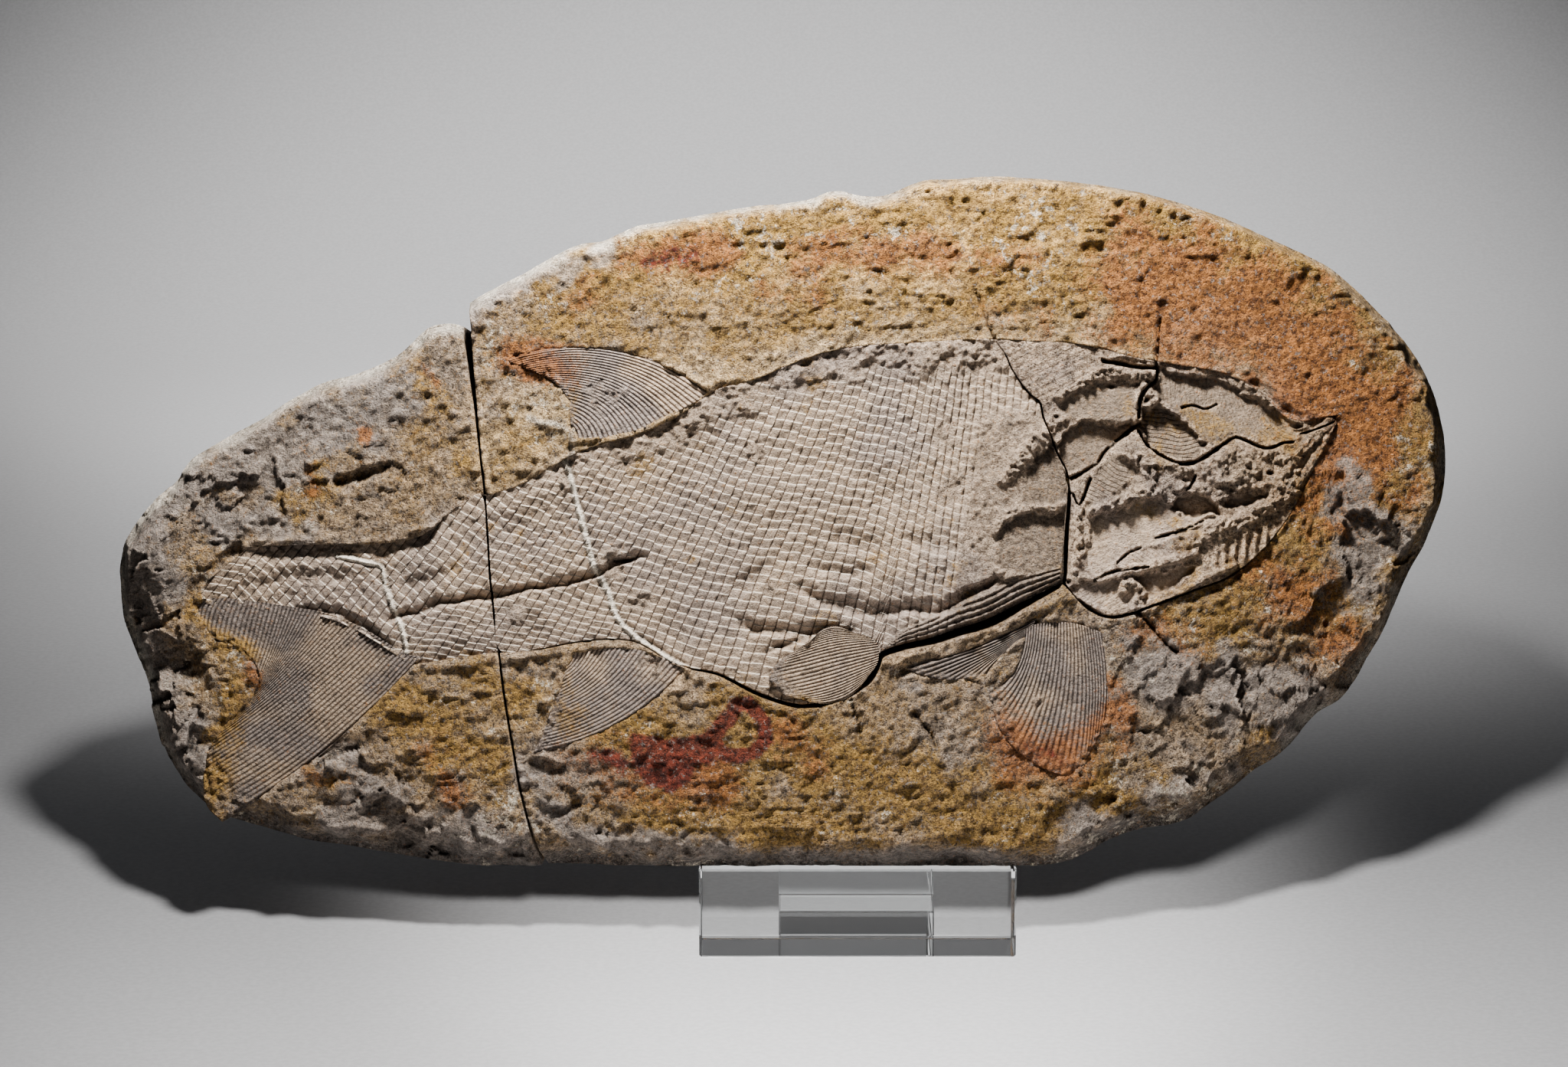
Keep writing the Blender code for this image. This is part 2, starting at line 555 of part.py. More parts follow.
def back_plate():
    """The plate that the stone leans on, parallel to the stone's back and standing on the foot."""
    plane_height = -STONE_THICKNESS - TOUCHING_GAP - PLATE_THICKNESS / 2
    foot_top = PLATE_THICKNESS + GLUE_GAP
    low_corner_rise = PLATE_THICKNESS / 2 * math.sin(LEAN)
    rise = (foot_top + low_corner_rise - SEAT_Z - (plane_height + RIM_DROP) * math.sin(LEAN)) / math.cos(LEAN)
    middle = rise + PLATE_LENGTH / 2
    y = SEAT_Y + middle * math.sin(LEAN) - (plane_height + RIM_DROP) * math.cos(LEAN)
    z = SEAT_Z + middle * math.cos(LEAN) + (plane_height + RIM_DROP) * math.sin(LEAN)
    return block("rest_back", (PLATE_WIDTH, PLATE_THICKNESS, PLATE_LENGTH), (0, y, z), -LEAN)


def finish(name, colour, roughness, metallic=0.0, transmission=0.0):
    made = bpy.data.materials.new(name)
    made.use_nodes = True
    shader = made.node_tree.nodes["Principled BSDF"]
    shader.inputs["Base Color"].default_value = (*colour, 1.0)
    shader.inputs["Roughness"].default_value = roughness
    shader.inputs["Metallic"].default_value = metallic
    shader.inputs["Transmission Weight"].default_value = transmission
    shader.inputs["IOR"].default_value = 1.49
    made.diffuse_color = (*colour, 1.0)
    return made


def build():
    for old in list(bpy.data.objects):
        bpy.data.objects.remove(old)
    parts = bpy.data.collections.new("fossil_fish")
    bpy.context.scene.collection.children.link(parts)

    lines = feature_lines()
    tail = stone("tail_block", np.vstack((TAIL_RIM[:-1], TAIL_BREAK[:-1])), lines, 21)
    main = stone("main_block", np.vstack((MAIN_RIM[:-1], MAIN_BREAK[:-1])), lines, 31)

    bar = block("rest_bar", (BAR_WIDTH, BAR_DEPTH, BAR_HEIGHT), (0, 0, BAR_HEIGHT / 2))
    foot_front = BAR_DEPTH / 2 + GLUE_GAP
    foot_length = FOOT_BACK - foot_front
    foot = block("rest_foot", (PLATE_WIDTH, foot_length, PLATE_THICKNESS),
                 (0, foot_front + foot_length / 2, PLATE_THICKNESS / 2))
    plate = back_plate()

    stone_finish = finish("weathered stone", (0.42, 0.33, 0.22), 0.9)
    acrylic = finish("clear acrylic", (0.92, 0.95, 0.95), 0.04, transmission=1.0)
    for made, material in ((tail, stone_finish), (main, stone_finish), (bar, acrylic), (foot, acrylic),
                           (plate, acrylic)):
        made.data.materials.append(material)
        parts.objects.link(made)


build()
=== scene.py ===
"""A fossil fish on a split stone nodule, on its clear acrylic rest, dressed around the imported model.

Everything on the stone's face is worked out in the pixels of a photograph of 2048 x 1393 that looks square
at the face: x to the right, y down, and a height out of the face in millimetres. on_stone() turns that to
metres.
"""

import math

import bpy
import numpy as np
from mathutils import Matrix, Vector


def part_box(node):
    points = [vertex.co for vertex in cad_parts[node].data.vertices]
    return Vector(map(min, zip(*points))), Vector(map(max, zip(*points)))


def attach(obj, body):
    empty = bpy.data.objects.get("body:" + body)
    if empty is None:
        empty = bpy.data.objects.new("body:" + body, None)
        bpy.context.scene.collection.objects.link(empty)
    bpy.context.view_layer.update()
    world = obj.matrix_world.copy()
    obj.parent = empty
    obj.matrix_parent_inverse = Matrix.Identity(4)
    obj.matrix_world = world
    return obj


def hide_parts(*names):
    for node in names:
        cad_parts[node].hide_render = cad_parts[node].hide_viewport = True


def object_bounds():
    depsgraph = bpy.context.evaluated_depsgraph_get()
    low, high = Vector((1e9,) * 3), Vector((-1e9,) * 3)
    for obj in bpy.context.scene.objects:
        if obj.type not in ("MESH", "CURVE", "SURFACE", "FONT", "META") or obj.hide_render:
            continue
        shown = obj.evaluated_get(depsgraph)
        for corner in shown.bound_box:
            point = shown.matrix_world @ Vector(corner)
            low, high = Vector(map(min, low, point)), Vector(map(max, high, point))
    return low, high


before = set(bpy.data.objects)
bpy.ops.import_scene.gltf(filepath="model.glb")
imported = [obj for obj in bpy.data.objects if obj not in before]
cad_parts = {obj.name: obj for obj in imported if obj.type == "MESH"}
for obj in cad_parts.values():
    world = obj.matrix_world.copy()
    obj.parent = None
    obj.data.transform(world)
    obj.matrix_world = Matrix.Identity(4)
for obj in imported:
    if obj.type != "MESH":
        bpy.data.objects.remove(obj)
CAD_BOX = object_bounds()

# The frame that everything is placed from
MM = 0.001
PX_PER_MM = 6.0
LEAN = math.radians(12.0)
SIN, COS = math.sin(LEAN), math.cos(LEAN)
STONE_THICKNESS = 36.0
RIM_DROP = 8.0
REST_CENTRE_PX = 1121.0
REST_TOP_PX = 1134.0
PICTURE_PX = (2048.0, 1393.0)
SEAT_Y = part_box("rest_bar")[0].y / MM + 2.0
SEAT_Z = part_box("rest_bar")[1].z / MM + 0.3

# Spacing of the points of each surface, in pixels
HEAD_PITCH = 1.9
HEAD_SIZE = (440, 350)
ROW_STEP = 2.16
RAY_SAMPLES = 6
RAY_STEP = 2.2

# How far the sheets reach into the stone, in millimetres, and how dark the painted shade on their hidden
# walls is
HIDDEN_DEPTH = 9.0
FISH_DEPTH = 12.0
WALL_PAINTED_SHADE = 0.3

# Outer edges of the two stones
TAIL_TOP_RIM = [
    (149, 760), (149, 740), (155, 712), (170, 685), (190, 660), (205, 645), (225, 625), (243, 600),
    (265, 585), (300, 565), (335, 547), (360, 530), (390, 512), (420, 497), (455, 488), (490, 475),
    (520, 458), (545, 435), (560, 424), (585, 420), (602, 424),
]
TAIL_BOTTOM_RIM = [
    (165, 840), (178, 870), (188, 900), (193, 930), (203, 965), (215, 995), (235, 1025), (255, 1045),
    (273, 1060), (295, 1070), (330, 1080), (370, 1092), (400, 1100), (450, 1107), (500, 1116), (550, 1124),
    (600, 1131), (650, 1137), (690, 1139), (703, 1138), (706, 1128),
]
TAIL_END = [(149, 760), (149, 780), (155, 815), (165, 840)]
TAIL_BREAK = [
    (602, 424), (606, 450), (612, 490), (619, 540), (625.5, 600), (630, 640), (634, 700), (637, 750),
    (642, 800), (649, 850), (655, 900), (663, 950), (670, 990), (677, 1030), (687, 1070), (697, 1105),
    (706, 1128),
]
MAIN_BREAK = [
    (610, 393), (614, 420), (617, 460), (621, 510), (625, 560), (629, 600), (633.5, 640), (637.5, 700),
    (640.5, 750), (645.5, 800), (652.5, 850), (658.5, 900), (666.5, 950), (673.5, 990), (680.5, 1030),
    (690.5, 1070), (701, 1105), (714, 1131),
]
MAIN_TOP_RIM = [
    (610, 393), (625, 383), (650, 370), (680, 355), (710, 338), (740, 322), (760, 315), (785, 312),
    (805, 303), (830, 292), (860, 287), (900, 280), (950, 271), (990, 265), (1020, 263), (1060, 256),
    (1080, 248), (1100, 246), (1120, 251), (1145, 253), (1165, 249), (1190, 238), (1215, 231), (1250, 230),
    (1300, 226), (1350, 229), (1400, 233), (1450, 240), (1500, 249), (1550, 263), (1600, 280), (1650, 302),
    (1700, 325), (1740, 345), (1765, 365), (1790, 388), (1820, 418),
]
MAIN_RIGHT_RIM = [
    (1820, 418), (1850, 455), (1870, 490), (1885, 530), (1893, 570), (1895, 610), (1890, 650), (1878, 685),
    (1865, 715), (1845, 750), (1830, 785), (1815, 820), (1795, 855),
]
MAIN_BOTTOM_RIM = [
    (714, 1131), (750, 1131), (800, 1133), (850, 1136), (880, 1137), (912, 1136), (1000, 1135),
    (1100, 1134), (1200, 1134), (1300, 1134), (1350, 1134), (1390, 1129), (1420, 1118), (1450, 1100),
    (1490, 1086), (1530, 1080), (1560, 1070), (1580, 1055), (1610, 1035), (1640, 1010), (1665, 995),
    (1690, 975), (1710, 950), (1730, 930), (1755, 915), (1775, 890), (1795, 855),
]

# The fish's outline: its back and belly lines, from the tail's tip to the snout
TAIL_BACK = [
    (255, 776), (268, 764), (285, 747), (305, 731), (330, 715), (400, 711), (450, 711), (500, 709),
    (540, 702), (562, 690), (580, 674), (600, 660), (629, 646),
]
TAIL_BELLY = [
    (255, 776), (275, 790), (310, 792), (380, 798), (440, 812), (490, 838), (520, 858), (545, 866),
    (600, 858), (649, 852),
]
FLANK_BACK = [
    (633.5, 646), (650, 643), (680, 632), (710, 615), (735, 600), (755, 590), (790, 578), (830, 568),
    (860, 555), (890, 540), (915, 522), (940, 507), (985, 495), (1040, 472), (1080, 459), (1120, 452),
    (1200, 447), (1296, 443),
]
FLANK_BELLY = [
    (652.5, 851), (700, 848), (730, 842), (760, 837), (800, 834), (830, 838), (850, 848), (872, 862),
    (900, 872), (930, 877), (950, 884), (990, 904), (1030, 917), (1060, 919), (1100, 907), (1130, 888),
    (1141, 870), (1150, 852), (1180, 841), (1215, 833), (1250, 821), (1290, 808), (1345, 781), (1388, 760),
]
HEAD_BACK = [
    (1303, 443), (1340, 445), (1390, 447), (1440, 455), (1480, 466), (1520, 473), (1560, 480), (1600, 488),
    (1640, 508), (1675, 540), (1700, 550), (1742, 543),
]
HEAD_BELLY = [
    (1396, 768), (1420, 796), (1450, 808), (1480, 803), (1500, 795), (1560, 772), (1610, 752), (1650, 718),
    (1680, 680), (1700, 645), (1722, 600), (1746, 552),
]
NECK_CRACK = [
    (1298, 443), (1313, 464), (1320, 480), (1333, 500), (1345, 515), (1357, 525), (1362, 545), (1372, 570),
    (1380, 590), (1391, 612), (1394, 625), (1396, 645), (1394, 665), (1391, 690), (1390, 720), (1389, 745),
    (1388, 762),
]


def ramp(value, low, high):
    """0 below low, 1 above high, and a smooth S between them."""
    share = np.clip((value - low) / (high - low), 0, 1)
    return share * share * (3 - 2 * share)


def bump(value, half_width):
    """1 at zero, falling in a smooth hump to 0 at plus and minus the half width."""
    return 1 - ramp(np.abs(value), 0, half_width)


def hashed(i, j, seed):
    """A steady random number from 0 to 1 for each whole-number pair."""
    mixed = (i.astype(np.int64) * 73856093) ^ (j.astype(np.int64) * 19349663) ^ (seed * 83492791)
    mixed = (mixed ^ (mixed >> 13)) * 1274126177 & 0x7FFFFFFF
    return ((mixed ^ (mixed >> 16)) & 0xFFFFFF) / float(0xFFFFFF)


def noise(x, y, size, seed):
    """Value noise from -1 to 1: random corners of a square lattice, blended by S-curves."""
    u, v = x / size + 100.0, y / size + 100.0
    i, j = np.floor(u), np.floor(v)
    fu, fv = ramp(u - i, 0, 1), ramp(v - j, 0, 1)
    low = hashed(i, j, seed) * (1 - fu) + hashed(i + 1, j, seed) * fu
    high = hashed(i, j + 1, seed) * (1 - fu) + hashed(i + 1, j + 1, seed) * fu
    return 2 * (low * (1 - fv) + high * fv) - 1


def cloud(x, y, size, seed, layers=4):
    """Noise layers of halving size and strength, added."""
    total, strength = 0.0, 1.0
    for layer in range(layers):
        turned_x = x * 0.8 + y * 0.6
        turned_y = y * 0.8 - x * 0.6
        total = total + strength * noise(turned_x, turned_y, size, seed + layer)
        x, y, size, strength = turned_x, turned_y, size / 2, strength / 2
    return total


def cells(x, y, size, seed):
    """Distance to the nearest of scattered points, and which cell of their lattice that point belongs to."""
    i, j = np.floor(x / size), np.floor(y / size)
    nearest = np.full(x.shape, np.inf)
    owner_i, owner_j = i.copy(), j.copy()
    for step_i in (-1, 0, 1):
        for step_j in (-1, 0, 1):
            ci, cj = i + step_i, j + step_j
            away_x = (ci + 0.1 + 0.8 * hashed(ci, cj, seed)) * size - x
            away_y = (cj + 0.1 + 0.8 * hashed(ci, cj, seed + 1)) * size - y
            away = np.hypot(away_x, away_y)
            closer = away < nearest
            nearest = np.where(closer, away, nearest)
            owner_i, owner_j = np.where(closer, ci, owner_i), np.where(closer, cj, owner_j)
    return nearest / size, owner_i, owner_j


def facets(x, y, size, seed):
    """Broken stone: every scattered cell is a plane with its own tilt and level, so cells meet in ledges."""
    wobble_x = x + size * 0.25 * cloud(x, y, size * 0.6, seed + 5, 3)
    wobble_y = y + size * 0.25 * cloud(x, y, size * 0.6, seed + 9, 3)
    _, ci, cj = cells(wobble_x, wobble_y, size, seed)
    tilt_x, tilt_y, level = (hashed(ci, cj, seed + k) - 0.5 for k in (2, 3, 4))
    return level + 1.1 * tilt_x * (wobble_x / size - ci - 0.5) + 1.1 * tilt_y * (wobble_y / size - cj - 0.5)


def distance_to(x, y, line, closed=False, reach=np.inf):
    """Distance of each point to a line of straight runs, looked for within reach of its box."""
    points = np.asarray(line, float)
    if closed:
        points = np.vstack((points, points[:1]))
    low, high = points.min(0) - reach, points.max(0) + reach
    near = (x > low[0]) & (x < high[0]) & (y > low[1]) & (y < high[1])
    found = np.full(x.shape, reach if np.isfinite(reach) else 1e9)
    px, py = x[near], y[near]
    best = np.full(px.shape, 1e9)
    for start, stop in zip(points, points[1:]):
        run = stop - start
        share = np.clip(((px - start[0]) * run[0] + (py - start[1]) * run[1]) / max(run @ run, 1e-9), 0, 1)
        best = np.minimum(best, np.hypot(px - start[0] - share * run[0], py - start[1] - share * run[1]))
    found[near] = np.minimum(best, found[near])
    return found


# How far from an outline its distance is worked out, in pixels
OUTLINE_REACH = 30.0


def depth_inside(x, y, outline):
    """Signed distance to a closed outline, positive inside, by counting crossings; cut off at the reach."""
    points = np.asarray(outline, float)
    low, high = points.min(0), points.max(0)
    near = (x > low[0]) & (x < high[0]) & (y > low[1]) & (y < high[1])
    px, py = x[near], y[near]
    within = np.zeros(px.shape, bool)
    for (x0, y0), (x1, y1) in zip(points, np.roll(points, -1, axis=0)):
        if y0 != y1:
            within ^= ((y0 > py) != (y1 > py)) & (px < (x1 - x0) * (py - y0) / (y1 - y0) + x0)
    sign = np.full(x.shape, -1.0)
    sign[near] = np.where(within, 1.0, -1.0)
    return sign * distance_to(x, y, points, closed=True, reach=OUTLINE_REACH)


def walked_along(points):
    """How far along a line each of its points lies."""
    return np.concatenate(([0], np.cumsum(np.hypot(*np.diff(points, axis=0).T))))


def points_at(points, distances):
    """The points of a line at the given distances from its start."""
    walked = walked_along(points)
    return np.column_stack([np.interp(distances, walked, points[:, k]) for k in (0, 1)])


def smooth_line(line, count=None, step=None):
    """Even points along a smooth curve through a line's points (Catmull-Rom)."""
    points = np.asarray(line, float)
    padded = np.vstack((2 * points[0] - points[1], points, 2 * points[-1] - points[-2]))
    share = np.linspace(0, 1, 10, endpoint=False)[:, None]
    runs = []
    for p0, p1, p2, p3 in zip(padded, padded[1:], padded[2:], padded[3:]):
        runs.append(0.5 * (2 * p1 + (p2 - p0) * share + (2 * p0 - 5 * p1 + 4 * p2 - p3) * share**2
                           + (3 * p1 - p0 - 3 * p2 + p3) * share**3))
    dense = np.vstack(runs + [points[-1:]])
    length = walked_along(dense)[-1]
    if count is None:
        count = max(2, round(length / step) + 1)
    return points_at(dense, np.linspace(0, length, count))


def on_stone(x, y, height):
    """Pixels and a height out of the face in millimetres, to metres in the row frame."""
    up = (REST_TOP_PX - y) / PX_PER_MM
    out = height + RIM_DROP
    world_y = np.maximum(SEAT_Y + up * SIN - out * COS, CAD_BOX[0][1] / MM + 0.05)
    world_z = np.clip(SEAT_Z + up * COS + out * SIN, SEAT_Z, CAD_BOX[1][2] / MM - 0.02)
    return np.stack(((x - REST_CENTRE_PX) / PX_PER_MM, world_y, world_z), axis=-1) * MM


def linear(red, green, blue):
    """A screen colour of 0 to 255 as linear light."""
    screen = np.array((red, green, blue)) / 255
    return np.where(screen <= 0.04045, screen / 12.92, ((screen + 0.055) / 1.055) ** 2.4)


# The fish's own lattice of scales
LATTICE_X = (250, 560, 900, 1060, 1180, 1250, 1400)
LATTICE_SLANT = (0.85, 0.8, 0.52, 0.42, 0.24, 0.14, 0.1)
LATTICE_PITCH = (13, 16.5, 15.5, 14.5, 12.5, 10.5, 10)
LATTICE_MIDDLE_X = (250, 450, 640, 900, 1100, 1300)
LATTICE_MIDDLE_Y = (770, 770, 750, 680, 640, 620)
ROW_PITCH_X = (300, 600, 900, 1150, 1300)
ROW_PITCH = (9.5, 11.2, 11.8, 12.0, 13.0)
ROW_SLOPE = 0.2
EDGE_SLOPE = 0.1


def column_pitch(base_x):
    """How far apart the columns of scales lie, in pixels."""
    return np.interp(base_x, LATTICE_X, LATTICE_PITCH)


COLUMN_X = np.linspace(200, 1450, 2501)
COLUMN_NUMBERS = np.concatenate(([0], np.cumsum(np.diff(COLUMN_X) / column_pitch(COLUMN_X[1:]))))


def lattice_point(base_x, y):
    """The x at height y of the slanting line that crosses the fish's middle at base_x."""
    slant = np.interp(base_x, LATTICE_X, LATTICE_SLANT)
    middle = np.interp(base_x, LATTICE_MIDDLE_X, LATTICE_MIDDLE_Y)
    lift = (middle - y) / 100.0
    return base_x + slant * (middle - y) - 5.0 * np.abs(lift) * lift * slant


def lattice_base(x, y):
    """The base_x of the slanting line through each point, by repeated correction."""
    base = np.array(x, float)
    for _ in range(14):
        base = base + 0.8 * (x - lattice_point(base, y))
    return base


def column_number(base_x):
    """Counts columns of scales from the tail along the middle line."""
    return np.interp(base_x, COLUMN_X, COLUMN_NUMBERS)


def face_level(x, y):
    """Broad swells of the split face, in millimetres, shared by everything on it."""
    swell = 0.45 * noise(x, y, 330, 3) + 0.25 * noise(x, y, 150, 4)
    dish = -0.7 * bump(distance_to(x, y, [(500, 760), (900, 680), (1300, 620)]), 330)
    return swell + dish


# Folds and dents of the fish's body: line, half width above and below it, and depth
BODY_FOLDS = [
    ([(500, 812), (540, 800), (580, 790), (640, 780), (700, 768), (750, 760), (800, 742), (835, 728)], 15,
     5, 1.5),
    ([(1040, 772), (1080, 790), (1130, 800), (1180, 799), (1240, 795), (1275, 775)], 22, 8, 1.5),
    ([(960, 812), (1000, 822), (1050, 824), (1100, 818)], 15, 9, 1.3),
    ([(1085, 706), (1120, 713), (1160, 716)], 30, 12, 0.9),
    ([(1060, 745), (1100, 752), (1140, 750)], 22, 8, 0.8),
    ([(800, 734), (820, 736), (836, 730)], 9, 5, 2.2),
    ([(520, 770), (560, 755), (600, 740)], 16, 16, 0.7),
    ([(950, 776), (985, 760), (1010, 742)], 30, 12, 1.0),
    ([(1180, 700), (1220, 716), (1260, 712)], 26, 12, 0.8),
    ([(1000, 850), (1040, 836), (1080, 828), (1120, 824)], 12, 6, 1.2),
    ([(380, 806), (430, 800), (480, 822), (515, 850)], 14, 9, 1.3),
    ([(330, 760), (400, 752), (460, 752)], 14, 14, 0.6),
]


def folds(x, y):
    """Creases that fall slowly from above and rise steeply below, as one sees in the flank."""
    height = np.zeros(x.shape)
    for line, above, below, depth in BODY_FOLDS:
        curve = smooth_line(line, step=8)
        line_y = np.interp(x, curve[:, 0], curve[:, 1]) + 3.5 * cloud(x, y, 26, 91, 3)
        start, stop = curve[0, 0], curve[-1, 0]
        inside = ramp(x, start - 12, start + 22) * (1 - ramp(x, stop - 22, stop + 12))
        offset = y - line_y
        groove = np.where(offset < 0, 1 - ramp(-offset, 0, above), 1 - ramp(offset, 0, below))
        height -= depth * inside * groove
    return height


def scale_numbers(x, y, base_x):
    """The column and the row of scales at each point, as running numbers.

    Their fractions say where the point lies in its scale.
    """
    column = column_number(base_x)
    pitch = column_pitch(base_x)
    row_pitch = np.interp(base_x, ROW_PITCH_X, ROW_PITCH)
    crowded = 0.45 * np.maximum(y - 790, 0) * (1 - ramp(base_x, 850, 1000)) * ramp(base_x, 540, 640)
    in_column = column - np.floor(column)
    row = (y + crowded - ROW_SLOPE * base_x) / row_pitch
    row = row + (ROW_SLOPE - EDGE_SLOPE) * (in_column - 0.5) * pitch / row_pitch
    shifted = 0.35 * hashed(np.floor(column), np.zeros(x.shape), 71) + 0.25 * noise(x, y, 70, 72)
    return column + 0.10 * noise(x, y, 24, 74), row + shifted + 0.06 * noise(x, y, 13, 75)


# Depths of the scales in millimetres: their steps, the grooves between columns (each with what it gains or
# loses where the columns stand upright, behind the head), and how much their levels differ
STEP, STEP_UPRIGHT = 0.22, -0.08
GROOVE, GROOVE_UPRIGHT = 0.18, 0.20
LEVEL_SPREAD = 0.24


def scale_relief(x, y, base_x):
    """Sawtooth scales: each falls slowly and rises sharply at its lower edge; grooves part the columns.

    Returns their height, each scale's own random number, the running numbers of columns and rows, and where
    the columns stand upright.
    """
    column, row = scale_numbers(x, y, base_x)
    pitch = column_pitch(base_x)
    in_column, in_row = column - np.floor(column), row - np.floor(row)
    mark = hashed(np.floor(column), np.floor(row), 73)
    fall = np.where(in_row < 0.8, 0.5 - in_row / 0.8, -0.5 + (in_row - 0.8) / 0.2)
    groove = bump(np.minimum(in_column, 1 - in_column) * pitch, 1.8)
    upright = ramp(base_x, 1150, 1245)
    height = (STEP + STEP_UPRIGHT * upright) * fall - (GROOVE + GROOVE_UPRIGHT * upright) * groove
    return height + LEVEL_SPREAD * (mark - 0.5), mark, column, row, upright


def body_relief(x, y, base_x):
    """The flank: recess, folds, scales, and rubbly stretches where scales are lost.

    Also returns each scale's own random number, the pattern for the shader's crisp edges (the scales' running
    numbers and how whole they are) and how far the scales are lost.
    """
    scales, mark, column, row, upright = scale_relief(x, y, base_x)
    back = np.interp(x, *np.array(TAIL_BACK[:-1] + FLANK_BACK).T)
    below_back = y - back
    lost = (1 - ramp(below_back, 20, 62)) * ramp(x, 740, 830)
    lost = np.maximum(lost, 0.8 * (1 - ramp(below_back, 5, 22)) * ramp(x, 640, 700))
    lost = np.clip(lost + 0.5 * cloud(x, y, 30, 81, 3) * ramp(lost, 0.05, 0.4), 0, 1)
    smooth_patch = ramp(base_x, 1258, 1280) * ramp(y, 520, 560)
    lost = np.maximum(lost, smooth_patch)
    lost = np.maximum(lost, 0.85 * ramp(cloud(x, y, 60, 83, 3), 0.7, 1.1))
    rubble = 0.75 * cloud(x, y, 15, 85, 3) + 0.5 * (cells(x, y, 9, 87)[0] - 0.4)
    height = scales * (1 - lost) + rubble * lost * (1 - 0.65 * smooth_patch)
    near_back = 1 - ramp(below_back, 2, 30)
    edge_drop = 0.6 * near_back * (0.6 + 0.6 * noise(x, y, 24, 90))
    edge_drop = edge_drop * ramp(x, 560, 620) * (1 - ramp(x, 850, 950))
    tail_drop = 1.5 * near_back * (1 - ramp(x, 545, 600)) * ramp(x, 300, 350)
    height += -0.35 - 0.55 * ramp(below_back, 8, 60) - edge_drop - tail_drop
    height += folds(x, y) + 0.5 * noise(x, y, 46, 88) + 0.16 * cloud(x, y, 7, 89, 2)
    height += shoulder_relief(x, y)
    whole = (1 - lost) * (1 - shoulder_cover(x, y))
    return height + face_level(x, y), mark, np.stack((column, row, whole * (1 - 0.55 * upright)), -1), lost


# The bundle of long smooth ridges behind the throat, along the crack under it
SHOULDER_LOW = [
    (1140, 872), (1150, 854), (1180, 842), (1215, 834), (1250, 822), (1290, 809), (1345, 782), (1392, 758),
]
SHOULDER_WIDTH_X = (1145, 1180, 1250, 1330, 1390)
SHOULDER_WIDTH = (6, 20, 34, 36, 20)


def above_shoulder(x, y):
    """How far above the shoulder's lower edge a point lies, and how wide the bundle is there."""
    line = smooth_line(SHOULDER_LOW, step=8)
    return np.interp(x, line[:, 0], line[:, 1]) - y, np.interp(x, SHOULDER_WIDTH_X, SHOULDER_WIDTH)


def shoulder_cover(x, y):
    """1 on the bundle of ridges, 0 off it."""
    rise, width = above_shoulder(x, y)
    return ramp(x, 1140, 1175) * (1 - ramp(rise - width, -3, 5))


def shoulder_relief(x, y):
    """Rounded ridges that run along the crack: a half-round bank with grooves, and a hollow above it."""
    rise, width = above_shoulder(x, y)
    share = np.clip(rise / np.maximum(width, 1), 0, 1)
    bank = 1.5 * np.sqrt(np.clip(1 - (share - 0.45) ** 2 / 0.36, 0, 1)) - 1.7 + 0.9 * share
    grooves = 0.34 * np.cos(2 * np.pi * (share * 4.2 + 0.15 * noise(x, y, 80, 93)))
    hollow = -2.2 * bump(rise - width - 9, 11) * ramp(x, 1240, 1275) * (1 - ramp(x, 1305, 1330))
    return shoulder_cover(x, y) * (bank + grooves) + hollow


def grid_border(rows, columns):
    """Vertex numbers round the border of a grid, in order."""
    top = np.arange(columns)
    right = np.arange(1, rows) * columns + columns - 1
    bottom = (rows - 1) * columns + np.arange(columns - 2, -1, -1)
    left = np.arange(rows - 2, 0, -1) * columns
    return np.concatenate((top, right, bottom, left))


def grid_quads(rows, columns, first=0, wrap=False):
    """Quads of a grid of vertex rows, as an array of four numbers each; wrap joins each row's ends."""
    across = columns if wrap else columns - 1
    i, j = np.meshgrid(np.arange(rows - 1), np.arange(across), indexing="ij")
    after = (j + 1) % columns
    here, below = i * columns, (i + 1) * columns
    return np.stack((here + j, here + after, below + after, below + j), -1).reshape(-1, 4) + first


def border_walls(border, first):
    """Quads between a sheet's border and the ring of points that follows it from number first on."""
    step = np.arange(len(border))
    after = (step + 1) % len(border)
    return np.stack((border[step], first + step, first + after, border[after]), -1)


